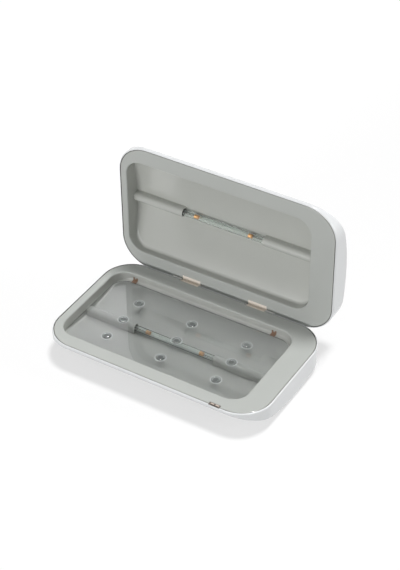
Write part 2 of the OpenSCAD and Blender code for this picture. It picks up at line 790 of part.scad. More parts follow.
// Round socket for the supply's plug, with its centre pin
module dc_power_jack() {
    color([0.13, 0.13, 0.14]) on_base() difference() {
        union() {
            span([jack_x - 3.4, half_d - shell_wall - 8.6, -socket_depth - 3],
                 [jack_x + 3.4, half_d - shell_wall - 0.05, -socket_depth + 3]);
            translate([jack_x, half_d, -socket_depth]) rotate([90, 0, 0])
                cylinder(r = jack_bore_r + 1.2, h = shell_wall + over);
        }
        difference() {
            translate([jack_x, half_d + over, -socket_depth]) rotate([90, 0, 0])
                cylinder(r = jack_bore_r, h = 8 + over);
            translate([jack_x, half_d - 1.5, -socket_depth]) rotate([90, 0, 0])
                cylinder(r = 0.6, h = 8, $fn = 24);
        }
    }
}

// Flat socket for a phone's charging cable: a metal mouth round a contact tongue
module usb_charging_socket() {
    color(steel_colour) on_base() {
        difference() {
            union() {
                for (side = [-1, 1]) translate([usb_x + side * (usb_w - usb_h) / 2, half_d - 0.1, -socket_depth])
                    rotate([90, 0, 0]) cylinder(r = usb_h / 2, h = 8);
                span([usb_x - (usb_w - usb_h) / 2, half_d - 8.1, -socket_depth - usb_h / 2],
                     [usb_x + (usb_w - usb_h) / 2, half_d - 0.1, -socket_depth + usb_h / 2]);
            }
            for (side = [-1, 1]) translate([usb_x + side * (usb_w - usb_h) / 2, half_d + over, -socket_depth])
                rotate([90, 0, 0]) cylinder(r = usb_h / 2 - 0.3, h = 7);
            span([usb_x - (usb_w - usb_h) / 2, half_d - 6, -socket_depth - usb_h / 2 + 0.3],
                 [usb_x + (usb_w - usb_h) / 2, half_d + over, -socket_depth + usb_h / 2 - 0.3]);
        }
        span([usb_x - 3.2, half_d - 6.5, -socket_depth - 0.35], [usb_x + 3.2, half_d - 1.2, -socket_depth + 0.35]);
    }
}

// Lamp leads under the cavity and beside it, and the lid switch's lead
module base_wire_harness() {
    lamp_z = -lamp_depth;
    left_x = base_opening[0] - tub_wall - elbow_r - 0.25;
    switch_side = switch_x + 4.05;
    switch_y = switch_front + 2;
    color([0.75, 0.2, 0.18]) on_base() {
        wire([[base_opening[2], lamp_y, lamp_z], [board_x - board_w / 2 - 0.1, lamp_y, lamp_z]]);
        wire([[board_x - board_w / 2 + 1, lead_y, -board_depth - board_t - 0.1],
              [board_x - board_w / 2 + 1, lead_y, under_z], [base_opening[0] + 6, lead_y, under_z],
              [left_x, crown_line_y, under_z], [left_x, lamp_y, lamp_z],
              [base_opening[0], lamp_y, lamp_z]]);
        wire([[board_x - 4, board_y - board_boss_y + 1, -board_depth + wire_r + 0.1],
              [board_x - board_w / 2, base_opening[1] + 4.7, -board_depth + 3.4],
              [switch_side + 4, switch_y, -rim_t - 1.5], [switch_side, switch_y, -rim_t - 1.5]]);
    }
}

// Frame of the lid switch, level with the rim: two windows for the prongs, and a drain slot
module switch_bezel() {
    color([0.66, 0.55, 0.48]) on_base() difference() {
        translate([switch_x, bezel_y, -rim_t / 2]) cube([bezel_w, bezel_d, rim_t], center = true);
        for (side = [-1, 1]) translate([switch_x + side * prong_pitch / 2, prong_y, -rim_t / 2])
            cube([prong_w + 2 * slide_gap, prong_d + 2 * slide_gap, rim_t + over], center = true);
        translate([switch_x, bezel_y - bezel_d / 2 + 0.65, -rim_t / 2])
            cube([bezel_w - 2, 0.5, rim_t + over], center = true);
    }
}

// Two-pronged button under the bezel that the closed lid works
module switch_plunger() {
    color([0.4, 0.3, 0.25]) on_base() {
        for (side = [-1, 1])
            span([switch_x + side * prong_pitch / 2 - prong_w / 2, prong_y - prong_d / 2, -plunger_top - plunger_bar_t / 2],
                 [switch_x + side * prong_pitch / 2 + prong_w / 2, prong_y + prong_d / 2, prong_up]);
        span([switch_x - bezel_w / 2 + slide_gap, bezel_y - bezel_d / 2 + slide_gap, -plunger_top - plunger_bar_t],
             [switch_x + bezel_w / 2 - slide_gap, bezel_y + bezel_d / 2, -plunger_top]);
    }
}

module switch_leaf_spring() {
    tip = [bezel_y + bezel_d / 2 - 0.9, -plunger_top - plunger_bar_t - 0.05];
    root = [switch_front - 0.02, tip[1] - 0.7];
    color(copper_colour) on_base() along_x(switch_x - 2.5, switch_x + 2.5)
        polygon([tip, [tip[0], tip[1] - 0.2], [root[0], root[1] - 0.2], root]);
}

module switch_body() {
    color([0.12, 0.12, 0.13]) on_base()
        span([switch_x - 4, switch_front, -rim_t - 2.5],
             [switch_x + 4, switch_front + 3.6, -rim_t - 0.05]);
}

module lid_outer_shell() {
    color(shell_colour) on_lid() difference() {
        union() {
            half_shell();
            difference() {
                post_bosses();
                at_posts() translate([0, 0, -crown_depth]) cylinder(r = screw_r + 0.05, h = crown_depth);
            }
        }
        lid_tab_room();
        translate([0, crown_line_y, -crown_depth - over]) cylinder(r = lens_r + 0.1, h = shell_wall + 2 * over);
    }
}

// Cut in rim and wall where a tab's arm comes through
module lid_tab_room() {
    for (side = [-1, 1]) mirror([side < 0 ? 1 : 0, 0, 0])
        span([tab_x - tab_gap, hinge_y - pad_front - 0.1, -rim_t - tab_plate_t - 0.3],
             [tab_x + tab_w + tab_gap, half_d + over, over]);
}

module lid_liner() {
    stake_y = hinge_y - pad_front - (tab_plate_l - pad_front) / 2;
    color(liner_colour) on_lid() difference() {
        union() {
            half_liner(lid_opening);
            for (x = [-post_x, post_x], y = [-post_y, post_y])
                translate([x, y, -crown_at(y) + boss_h + seat_gap]) {
                    cylinder(r = post_r - 0.05, h = crown_at(y) - boss_h - seat_gap - rim_t / 2);
                    translate([0, 0, -0.8]) cylinder(r = screw_r, h = 1.2);
                }
            for (side = [-1, 1], along = [0.25, 0.75])
                translate([side * (tab_x + along * tab_w), stake_y, -rim_t - tab_plate_t - 0.5])
                    cylinder(r = stake_r, h = tab_plate_t + 0.5 + rim_t / 2);
        }
        lid_tab_room();
    }
}

module lid_lamp_tube() {
    color(glass_colour) on_lid() lamp_tube(lid_opening);
}

module lid_lamp_electrodes() {
    color(copper_colour) on_lid() lamp_electrodes(lid_opening);
}

module lid_lamp_end_caps() {
    color(rubber_colour) on_lid() lamp_end_caps(lid_opening);
}

// Barrel, stop ear, arm, pad and mounting plate of each lid tab, drawn as closed
module lid_hinge_tabs() {
    plate_z = closing_gap + rim_t + 0.05;
    stake_y = hinge_y - pad_front - (tab_plate_l - pad_front) / 2;
    color(cream_colour) on_base() swing_open() for (side = [-1, 1])
        mirror([side < 0 ? 1 : 0, 0, 0]) difference() {
            along_x(tab_x, tab_x + tab_w) {
                translate([hinge_y, hinge_z]) circle(barrel_r);
                translate([hinge_y - ear_t, hinge_z - ear_l]) square([ear_t, ear_l]);
                translate([hinge_y - arm_front, hinge_z])
                    square([arm_front + arm_rear, plate_z + tab_plate_t - hinge_z]);
                translate([hinge_y - pad_front, closing_gap])
                    square([pad_front + arm_rear, plate_z + tab_plate_t - closing_gap]);
                translate([hinge_y - tab_plate_l, plate_z])
                    square([tab_plate_l + arm_rear, tab_plate_t]);
            }
            along_x(tab_x - over, tab_x + tab_w + over)
                translate([hinge_y, hinge_z]) circle(pin_r + pin_fit);
            for (along = [0.25, 0.75]) translate([tab_x + along * tab_w, stake_y, plate_z - over])
                cylinder(r = stake_r + 0.05, h = tab_plate_t + 2 * over);
        }
}

// Lamp leads that end beside the two hinge tabs
module lid_wire_harness() {
    lamp_z = -lamp_depth;
    left_x = lid_opening[0] - tub_wall - elbow_r - 0.1;
    right_x = lid_opening[2] + tub_wall + elbow_r + 0.1;
    rear_y = lid_opening[3] + tub_wall + wire_r + 0.6;
    tab_side = tab_x + tab_w + 1.4;
    color([0.75, 0.2, 0.18]) on_lid() {
        wire([[lid_opening[2], lamp_y, lamp_z], [right_x, lamp_y, lamp_z], [right_x, rear_y, -7],
              [tab_side, rear_y, -7], [tab_side, hinge_y - 4, -4.5]]);
        wire([[lid_opening[0], lamp_y, lamp_z], [left_x, lamp_y, lamp_z],
              [left_x, crown_line_y, under_z], [lid_opening[0] + 6, lead_y, under_z],
              [-tab_side - 2, lid_opening[3] - 5, -floor_at(lid_opening[3] - 5) - floor_t - 2.2],
              [-tab_side, rear_y + 0.3, -crown_at(rear_y) + shell_wall + 2.4],
              [-tab_side, hinge_y - 5, -6]]);
    }
}

module status_light_lens() {
    color([0.85, 0.9, 0.95, 0.5]) on_lid() intersection() {
        translate([0, crown_line_y, -crown_depth]) cylinder(r = lens_r, h = 1);
        along_x(-half_w, half_w) crown_section();
    }
}

// Small board on the shell's inner face, with its light in the lens's hole
module status_light_board() {
    inner = -crown_depth + shell_wall + 0.1;
    color(board_colour) on_lid() translate([0, crown_line_y, inner]) {
        translate([-6, -4, 0]) cube([12, 8, 0.8]);
        translate([-1, -1, -0.6]) cube([2, 2, 0.8]);
    }
}

base_outer_shell();
base_liner();
base_lamp_tube();
base_lamp_electrodes();
base_lamp_end_caps();
clear_plate();
plate_bumps();
plate_clips();
rubber_feet();
base_screws();
base_hinge_knuckles();
hinge_pins();
control_board();
ballast_transformers();
ballast_capacitors();
board_chips();
board_screws();
dc_power_jack();
usb_charging_socket();
base_wire_harness();
switch_bezel();
switch_plunger();
switch_leaf_spring();
switch_body();
lid_outer_shell();
lid_liner();
lid_lamp_tube();
lid_lamp_electrodes();
lid_lamp_end_caps();
lid_hinge_tabs();
lid_wire_harness();
status_light_lens();
status_light_board();
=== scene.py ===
"""Looks of a clamshell lamp box for phones: shells, liners, lamps, clear plate and hinges."""

import json
import math

import bmesh
import bpy
from mathutils import Matrix, Vector


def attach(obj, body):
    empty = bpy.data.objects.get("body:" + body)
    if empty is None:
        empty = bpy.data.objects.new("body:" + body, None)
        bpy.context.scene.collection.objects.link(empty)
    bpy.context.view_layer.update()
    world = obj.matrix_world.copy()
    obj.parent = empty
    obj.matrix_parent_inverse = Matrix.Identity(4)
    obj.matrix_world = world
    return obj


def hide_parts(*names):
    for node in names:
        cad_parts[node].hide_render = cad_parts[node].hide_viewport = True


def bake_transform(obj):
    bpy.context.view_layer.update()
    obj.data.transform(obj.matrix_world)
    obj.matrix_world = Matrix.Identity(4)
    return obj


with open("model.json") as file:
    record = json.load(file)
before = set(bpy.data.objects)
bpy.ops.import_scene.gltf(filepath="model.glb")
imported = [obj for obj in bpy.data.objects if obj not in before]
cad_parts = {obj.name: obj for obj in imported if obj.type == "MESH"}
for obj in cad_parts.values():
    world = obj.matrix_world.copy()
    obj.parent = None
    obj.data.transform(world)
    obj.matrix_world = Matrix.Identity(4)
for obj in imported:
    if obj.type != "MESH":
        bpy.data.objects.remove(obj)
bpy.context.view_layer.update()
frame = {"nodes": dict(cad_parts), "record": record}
MM = 0.001

# Sizes of the box in mm, as the solids have them. Each half is drawn with its rim at z = 0
# and its depth going down, y towards the hinge.
BOX_W, BOX_D, CORNER_R = 183.0, 110.0, 25.0
CROWN_DEPTH, CROWN_LINE_Y = 19.7, 5.0
FRONT_EDGE_H, REAR_EDGE_H = 3.5, 11.9
SHELL_WALL, LIP_W, LIP_EDGE_R, NOSE_R = 1.6, 0.9, 1.2, 1.8
RIM_T, RIM_INSET, RIM_EDGE_R = 1.4, 1.4, 0.5
SEAT_DEPTH, HINGE_STRIP = 1.5, 2.5
OPENING_R, OPENING_EDGE_R = 12.9, 1.0
BASE_FILLET_R, LID_FILLET_R = 1.4, 1.6
TUB_WALL, FLOOR_T = 1.3, 0.8
BASE_OPENING = (-84.2, -42.7, 72.1, 41.4)
LID_OPENING = (-84.9, -41.0, 70.9, 41.0)
FLOOR_DEPTH, FLOOR_EDGE_DEPTH = 14.6, 6.414
LAMP_X, LAMP_Y, LAMP_DEPTH = -7.4, -1.3, 11.3
TUBE_R, TUBE_BORE_R, BARE_L = 2.4, 1.9, 68.6
ELECTRODE_PITCH = 46.6
SHROUD_R, SHROUD_BORE_R = 3.5, 2.85
PLATE_DEPTH, PLATE_T, PLATE_END_GAP, PLATE_SIDE_GAP = 6.4, 1.0, 1.5, 2.9
BUMP_MIDDLE, BUMP_PITCH = (-5.2, -2.5), (47.0, 21.8)
BUMP_R, BUMP_H = 3.4, 1.4
HINGE_Y, HINGE_Z = 53.67, -3.3
TAB_X, KNUCKLE_X, KNUCKLE_END = 21.0, 37.1, 44.5
TAB_W, TAB_GAP, TAB_ARM, STAKE_BACK, STAKE_R = 15.8, 0.3, 1.3, 5.65, 1.0
LAP_FRONT, LAP_REAR, LAP_PROUD, LAP_ROOT = 48.9, 51.2, 0.15, 0.6
LID_TAB_ROOM_FRONT, LID_TAB_ROOM_DEPTH, EAR_ROOM_R, BARREL_ROOM_R = 2.8, 3.3, 3.65, 2.3
KNUCKLE_ROOM_FRONT, KNUCKLE_ROOM_DROP = 4.6, 2.3
SWITCH_X, BEZEL_W, BEZEL_BACK_Y = 58.0, 8.8, -51.85
SWITCH_ROOM_W, SWITCH_ROOM_FRONT, SWITCH_ROOM_BACK, SWITCH_ROOM_DEPTH = 9.1, -54.6, -51.3, 2.85
POST_X, POST_Y, POST_R, POST_FOOT, PIN_R, PIN_L = 80.642, 44.142, 2.4, 3.2, 1.0, 0.8
BOSS_R, BOSS_FOOT, BOSS_TOP, HEAD_SEAT = 2.45, 0.9, 3.1, 1.9
SCREW_HEAD_R, SCREW_ROOM_R, PIN_ROOM_R = 1.95, 1.2, 1.05
BOARD_X, BOARD_BOSS_YS, BOARD_BOSS_R, BOARD_BOSS_FOOT, BOARD_Z = 81.5, (-23.0, 29.0), 2.2, 1.2, -11.5
SOCKET_DEPTH, JACK_X, JACK_R, USB_X, USB_HALF_W, USB_HALF_H = 7.2, 57.0, 3.2, -57.0, 4.7, 1.85
FOOT_X, FOOT_YS, LENS_R = 60.0, (-22.0, 36.0), 2.2
# Rooms that are open to the back or upwards are cut from past the rear face and from above the rim
PAST_REAR, ABOVE_RIM = 58, 1
# Insets of the rings that carry the curved faces from the edge to the straight middle
CROWN_INSETS = (4, 7, 11, 15, 19, 22, 24, CORNER_R)
RIM_Z, BASE_Y = 21.2, -11.035
LID_RIM_Y, LID_MID_Z = 46.335, 71.57


# Camera: a long lens that looks from the front right and above
CAMERA_PLACE = Vector((473.3, -750.1, 771.3)) * MM
CAMERA_RIGHT = Vector((0.8491, 0.528, -0.0155))
CAMERA_UP = Vector((-0.3331, 0.5581, 0.76))


def add_camera():
    data = bpy.data.cameras.new("camera")
    data.lens = 99.58
    data.shift_x = 0.0278
    data.shift_y = 0.0870
    data.clip_start = 0.05
    camera = bpy.data.objects.new("camera", data)
    back = CAMERA_RIGHT.cross(CAMERA_UP).normalized()
    up = back.cross(CAMERA_RIGHT).normalized()
    turn = Matrix((CAMERA_RIGHT.normalized(), up, back)).transposed()
    camera.matrix_world = Matrix.Translation(CAMERA_PLACE) @ turn.to_4x4()
    bpy.context.scene.collection.objects.link(camera)
    bpy.context.scene.camera = camera


# Materials. Colours are sRGB hex; sizes of grain and drift are in mm.


def linear(hex_colour):
    """An sRGB hex colour as the linear RGBA that the shader takes."""
    values = [int(hex_colour[i : i + 2], 16) / 255 for i in (0, 2, 4)]
    return [v / 12.92 if v <= 0.04045 else ((v + 0.055) / 1.055) ** 2.4 for v in values] + [1.0]


def add_node(owner, kind, settings=None, links=None):
    """Adds one node to a material, the world or a node group, sets it and links outputs to its inputs."""
    tree = getattr(owner, "node_tree", None) or owner
    node = tree.nodes.new(kind)
    for name, value in (settings or {}).items():
        if isinstance(name, int) or name in node.inputs:
            node.inputs[name].default_value = value
        else:
            setattr(node, name, value)
    for name, output in (links or {}).items():
        tree.links.new(output, node.inputs[name])
    return node


def new_material(name, settings):
    """A material with one Principled shader, whose constants sit on its own sockets."""
    material = bpy.data.materials.new(name)
    material.use_nodes = True
    shader = material.node_tree.nodes["Principled BSDF"]
    for socket, value in settings.items():
        shader.inputs[socket].default_value = value
    return material, shader


def object_place(material):
    return add_node(material, "ShaderNodeTexCoord").outputs["Object"]


def colour_drift(material, shader, low, high, size_mm, place):
    """Two near colours that drift into each other over a piece, as pigment does in a moulding."""
    noise = add_node(material, "ShaderNodeTexNoise", {"Scale": 1 / (size_mm * MM), "Detail": 3.0}, {"Vector": place})
    mix = add_node(material, "ShaderNodeMix", {"data_type": "RGBA"}, {0: noise.outputs["Fac"]})
    mix.inputs[6].default_value = linear(low)
    mix.inputs[7].default_value = linear(high)
    material.node_tree.links.new(mix.outputs[2], shader.inputs["Base Color"])
    return mix


def roughness_drift(material, shader, low, high, size_mm, place):
    """Gloss that varies a little, as handling and the polish of the mould leave it."""
    noise = add_node(material, "ShaderNodeTexNoise", {"Scale": 1 / (size_mm * MM), "Detail": 4.0}, {"Vector": place})
    spread = add_node(material, "ShaderNodeMapRange", {"To Min": low, "To Max": high}, {"Value": noise.outputs["Fac"]})
    material.node_tree.links.new(spread.outputs["Result"], shader.inputs["Roughness"])


def surface_grain(material, shader, size_mm, depth_mm, place, detail=2.0, under=None):
    """Bump of a given grain size and depth, laid over an earlier one if there is one."""
    noise = add_node(material, "ShaderNodeTexNoise", {"Scale": 1 / (size_mm * MM), "Detail": detail}, {"Vector": place})
    bump = add_node(material, "ShaderNodeBump", {"Strength": 1.0, "Distance": depth_mm * MM}, {
        "Height": noise.outputs["Fac"],
    })
    if under is not None:
        material.node_tree.links.new(under.outputs["Normal"], bump.inputs["Normal"])
    material.node_tree.links.new(bump.outputs["Normal"], shader.inputs["Normal"])
    return bump


def polished_white_abs():
    """Injection-moulded ABS from a polished mould: deep even white, a wet shine with a faint waviness."""
    material, shader = new_material("polished_white_abs", {"IOR": 1.54, "Coat Weight": 0.25, "Coat Roughness": 0.05})
    place = object_place(material)
    colour_drift(material, shader, "E8EAEB", "EDEFF0", 45.0, place)
    roughness_drift(material, shader, 0.16, 0.26, 18.0, place)
    waves = surface_grain(material, shader, 9.0, 0.010, place, 1.0)
    surface_grain(material, shader, 0.9, 0.0012, place, 2.0, waves)
    return material


def satin_grey_abs():
    """Rim of the liners: the mould was blasted, which gives a silvery satin with a fine grain."""
    material, shader = new_material("satin_silver_grey_abs", {"IOR": 1.5})
    place = object_place(material)
    colour_drift(material, shader, "BCBFBB", "C1C4C0", 30.0, place)
    roughness_drift(material, shader, 0.34, 0.42, 12.0, place)
    # The blasted grain is about 0.1 mm; it is drawn at 0.5 mm so that it shows at all.
    surface_grain(material, shader, 0.5, 0.006, place, 2.0)
    return material


def glossy_grey_abs():
    """Cavities of the liners: the same ABS from a polished part of the mould, so it mirrors softly."""
    material, shader = new_material("glossy_grey_abs_cavity", {
        "IOR": 1.54, "Coat Weight": 0.2, "Coat Roughness": 0.06,
    })
    place = object_place(material)
    colour_drift(material, shader, "C0C2BD", "C6C8C2", 30.0, place)
    roughness_drift(material, shader, 0.15, 0.24, 16.0, place)
    surface_grain(material, shader, 7.0, 0.008, place, 1.0)
    return material


def moulded_plastic(name, low, high, roughness, grain_mm, depth_mm, coat=0.0):
    """Injection-moulded plastic or rubber: slight drift of colour and gloss, and the mould's grain."""
    material, shader = new_material(name, {"IOR": 1.5, "Coat Weight": coat, "Coat Roughness": 0.1})
    place = object_place(material)
    colour_drift(material, shader, low, high, 8.0, place)
    roughness_drift(material, shader, roughness - 0.05, roughness + 0.05, 5.0, place)
    surface_grain(material, shader, grain_mm, depth_mm, place)
    return material


def rolled_metal(name, low, high, roughness):
    """Strip or wire metal with fine drawing lines along X and a light tarnish."""
    material, shader = new_material(name, {"Metallic": 1.0})
    place = object_place(material)
    colour_drift(material, shader, low, high, 1.5, place)
    roughness_drift(material, shader, roughness - 0.06, roughness + 0.08, 2.0, place)
    lines = add_node(material, "ShaderNodeMapping", {"Scale": (0.15, 1.0, 1.0)}, {"Vector": place})
    surface_grain(material, shader, 0.25, 0.006, lines.outputs["Vector"])
    return material


def clear_material(name, colour, roughness, ior, wave_mm, depth_mm, passes=0.12):
    """Clear glass or plastic, with the slight waves of a drawn, cast or moulded wall."""
    material, shader = new_material(name, {
        "Roughness": roughness, "IOR": ior, "Transmission Weight": 1.0, "Base Color": linear(colour),
    })
    surface_grain(material, shader, wave_mm, depth_mm, object_place(material), 1.0)
    # Some lamplight goes straight through the clear wall to what lies behind it
    rays = add_node(material, "ShaderNodeLightPath")
    passing = add_node(material, "ShaderNodeBsdfTransparent", {"Color": (passes, passes, passes, 1.0)})
    both = add_node(material, "ShaderNodeMixShader", None, {
        0: rays.outputs["Is Shadow Ray"], 1: shader.outputs["BSDF"], 2: passing.outputs["BSDF"],
    })
    surface = material.node_tree.nodes["Material Output"].inputs["Surface"]
    material.node_tree.links.new(both.outputs["Shader"], surface)
    return material


def glazed_board():
    """Glass-fibre board under green solder mask, with paler tracks that show through it."""
    material, shader = new_material("solder_masked_board", {"Roughness": 0.35, "IOR": 1.5})
    place = object_place(material)
    mix = colour_drift(material, shader, "1B4A2B", "2C6A40", 2.5, place)
    # Tracks 1.4 mm apart: a row of the pattern is 0.25 / scale
    tracks = add_node(material, "ShaderNodeTexBrick", {"Scale": 180.0, "Mortar Size": 0.08}, {"Vector": place})
    material.node_tree.links.new(tracks.outputs["Fac"], mix.inputs[0])
    surface_grain(material, shader, 0.8, 0.01, place)
    return material


def wound_ferrite():
    """Pressed ferrite cores round a coil of enamelled copper: dark and dull with a warm cast."""
    material, shader = new_material("ferrite_and_winding", {"IOR": 1.6})
    place = object_place(material)
    colour_drift(material, shader, "332F2B", "4C4339", 3.0, place)
    roughness_drift(material, shader, 0.45, 0.7, 1.0, place)
    # Turns of 0.6 mm wire round the bobbin, which lies along Y: a band repeats every 0.314 / scale
    turns = add_node(material, "ShaderNodeTexWave", {
        "wave_type": "BANDS", "bands_direction": "Y", "Scale": 520.0,
    }, {"Vector": place})
    bump = add_node(material, "ShaderNodeBump", {"Strength": 0.6, "Distance": 0.1 * MM}, {
        "Height": turns.outputs["Fac"],
    })
    material.node_tree.links.new(bump.outputs["Normal"], shader.inputs["Normal"])
    return material


def clear_plate_acrylic():
    """Cast acrylic sheet with polished faces: nearly no tint, a hard mirror line at low angles."""
    return clear_material("cast_acrylic_plate", "F4F5F6", 0.0, 1.6, 60.0, 0.006)


MATERIALS = {
    "gloss_white": polished_white_abs(),
    "liner_grey": satin_grey_abs(),
    # Drawn quartz: nearly unseen, with fine green-grey lines where its wall is seen edge on
    "quartz_glass": clear_material("drawn_quartz_tube", "F9FDFB", 0.0, 1.46, 12.0, 0.004, passes=0.5),
    # Nickel cup with a fired coating: warm and dull beside the cold tube
    "electrode_metal": rolled_metal("nickel_cup_with_emitter", "D89A60", "EBB578", 0.45),
    # Moulded rubber: soft black without a highlight
    "black_rubber": moulded_plastic("moulded_black_rubber", "272729", "303032", 0.72, 0.5, 0.03),
    "clear_acrylic": clear_plate_acrylic(),
    # Moulded silicone: clear, with small bright points on its curves
    "clear_silicone": clear_material("moulded_clear_dome", "F0F3F3", 0.0, 1.5, 4.0, 0.003, passes=0.4),
    # Rolled bronze, tarnished: dull brown with a soft sheen along the strip
    "copper_strip": rolled_metal("tarnished_phosphor_bronze", "8E7A6C", "A8917F", 0.42),
    # Zinc plate on steel: cool and even, with fine lines
    "screw_steel": rolled_metal("zinc_plated_steel", "BEC0C2", "CFD0D1", 0.3),
    # Acetal: slightly waxy white
    "hinge_white": moulded_plastic("moulded_white_acetal", "ECECE8", "F2F2EE", 0.36, 0.6, 0.006),
    "circuit_board": glazed_board(),
    "ferrite": wound_ferrite(),
    # Shrunk sleeve: tight dark blue film with a clear shine
    "capacitor_sleeve": moulded_plastic("pvc_capacitor_sleeve", "1E2A48", "27345C", 0.3, 1.2, 0.006, 0.2),
    # Glass-filled nylon: black, greyed by the fibres at its surface
    "black_moulding": moulded_plastic("black_glass_filled_nylon", "1C1C1E", "262628", 0.5, 0.4, 0.012),
    # Extruded sleeve: even red with a waxy shine
    "wire_sleeve": moulded_plastic("pvc_wire_sleeve", "A5261E", "B53229", 0.45, 0.6, 0.008),
    # Acetal with pigment: grey-brown, darker than the strip that it frames
    "switch_brown": moulded_plastic("grey_brown_acetal", "6E655F", "7C736C", 0.42, 0.5, 0.008),
    # Acetal, unpainted: warm cream against the grey rims
    "cream_plastic": moulded_plastic("cream_acetal_hinge", "FBF1E5", "FFF7EC", 0.38, 0.7, 0.006, 0.1),
    # Light guide with a matt end: a milky point
    "lens_clear": clear_material("moulded_light_guide", "EEF3FA", 0.06, 1.49, 3.0, 0.004),
}
CAVITY_GLOSS = glossy_grey_abs()
# Painted reflection: the middle of each dome's underside and the side of its brim are coloured dark grey, as the domes
# mirror the dark lid
PAINTED_DARK_REFLECTION = moulded_plastic("painted_dark_reflection", "626665", "6F7372", 0.3, 0.8, 0.01)
# Painted highlight: the dome's thin skirt is coloured pale, so it draws the bright ring round each dome
PAINTED_HIGHLIGHT_RING = moulded_plastic("painted_highlight_dome_rim", "CDD2D1", "DADEDD", 0.3, 0.8, 0.01)
# Painted light: the switch's bar is a paler copy of the bronze strips round it, so that it reads as a light line
# between them
CONTACT_BAR = rolled_metal("painted_light_contact_bar", "C4B5A9", "D6C9BE", 0.38)
# Painted shade: the step beside the rim is coloured dark grey and left rough, so that it reads as a fine dark line
SHADOW_GAP = moulded_plastic("painted_shade_step", "82827F", "8E8E8B", 0.8, 0.3, 0.02)
# Oxidised wire: dark, with a faint metal edge
LEAD_WIRE = rolled_metal("oxidised_lead_wire", "5A5550", "6B655F", 0.5)

SLOT_OF = {entry["node"]: entry["material_slot"] for entry in frame["record"]["subparts"]}
BODY_OF = {node: body for body, nodes in frame["record"]["behaviour"]["bodies"].items() for node in nodes}
for node_name, node_object in frame["nodes"].items():
    node_object.data.materials.clear()
    node_object.data.materials.append(MATERIALS[SLOT_OF[node_name]])


# Shapes. A half is drawn in its own frame, and base_place() and lid_place() put it in the box's.


def base_place(point):
    return Vector((point[0], point[1] + BASE_Y, point[2] + RIM_Z)) * MM


def lid_place(point):
    return Vector((point[0], LID_RIM_Y - point[2], LID_MID_Z - point[1])) * MM


def arc_radius(run, rise):
    return (run * run + rise * rise) / (2 * rise)


FRONT_ARC_R = arc_radius(BOX_D / 2 + CROWN_LINE_Y, CROWN_DEPTH - FRONT_EDGE_H)
REAR_ARC_R = arc_radius(BOX_D / 2 - CROWN_LINE_Y, CROWN_DEPTH - REAR_EDGE_H)


def crown_at(y, lift=0.0):
    """Depth of the curved underside, or of a surface lifted off it by the wall."""
    arc = FRONT_ARC_R if y < CROWN_LINE_Y else REAR_ARC_R
    return CROWN_DEPTH - arc + math.sqrt((arc - lift) ** 2 - (y - CROWN_LINE_Y) ** 2)


def floor_at(y, drop=0.0):
    """Depth of a cavity's arched floor, which all cavities share."""
    middle = (BASE_OPENING[1] + BASE_OPENING[3]) / 2
    arc = arc_radius((BASE_OPENING[3] - BASE_OPENING[1]) / 2, FLOOR_DEPTH - FLOOR_EDGE_DEPTH)
    return FLOOR_DEPTH - arc + math.sqrt((arc + drop) ** 2 - (y - middle) ** 2)


CORNER_STEPS, LONG_STEPS, SHORT_STEPS = 20, 36, 26
ARCH_STEPS, FOOT_STEPS, SPRING_STEPS = 32, 40, 12
MERGE_MM, SOLID_MERGE_MM, SHARP_DEG = 0.002, 0.001, 32


def outline(low_x, low_y, high_x, high_y, radius):
    """Points round a rectangle with rounded corners, as many for every size of it."""
    points = []
    corners = [
        (high_x - radius, low_y + radius, -90), (high_x - radius, high_y - radius, 0),
        (low_x + radius, high_y - radius, 90), (low_x + radius, low_y + radius, 180),
    ]
    for index, (x, y, start) in enumerate(corners):
        for step in range(CORNER_STEPS + 1):
            angle = math.radians(start + 90 * step / CORNER_STEPS)
            points.append((x + radius * math.cos(angle), y + radius * math.sin(angle)))
        next_x, next_y, next_start = corners[(index + 1) % 4]
        angle = math.radians(next_start)
        end = (next_x + radius * math.cos(angle), next_y + radius * math.sin(angle))
        steps = SHORT_STEPS if index % 2 == 0 else LONG_STEPS
        here = points[-1]
        for step in range(1, steps):
            share = step / steps
            points.append((here[0] + share * (end[0] - here[0]), here[1] + share * (end[1] - here[1])))
    return points


def box_ring(inset, depth):
    """A ring of the box's outline, moved in, at a depth that may depend on y."""
    flat = outline(-BOX_W / 2 + inset, -BOX_D / 2 + inset, BOX_W / 2 - inset, BOX_D / 2 - inset, CORNER_R - inset)
    return [(x, y, -depth(y) if callable(depth) else -depth) for x, y in flat]


def opening_ring(opening, inset, depth):
    flat = outline(opening[0] + inset, opening[1] + inset, opening[2] - inset, opening[3] - inset, OPENING_R - inset)
    return [(x, y, -depth(y) if callable(depth) else -depth) for x, y in flat]


def quarter(steps):
    """Sine and cosine over a quarter turn, for rounded edges."""
    return [(math.sin(math.pi / 2 * i / steps), math.cos(math.pi / 2 * i / steps)) for i in range(steps + 1)]


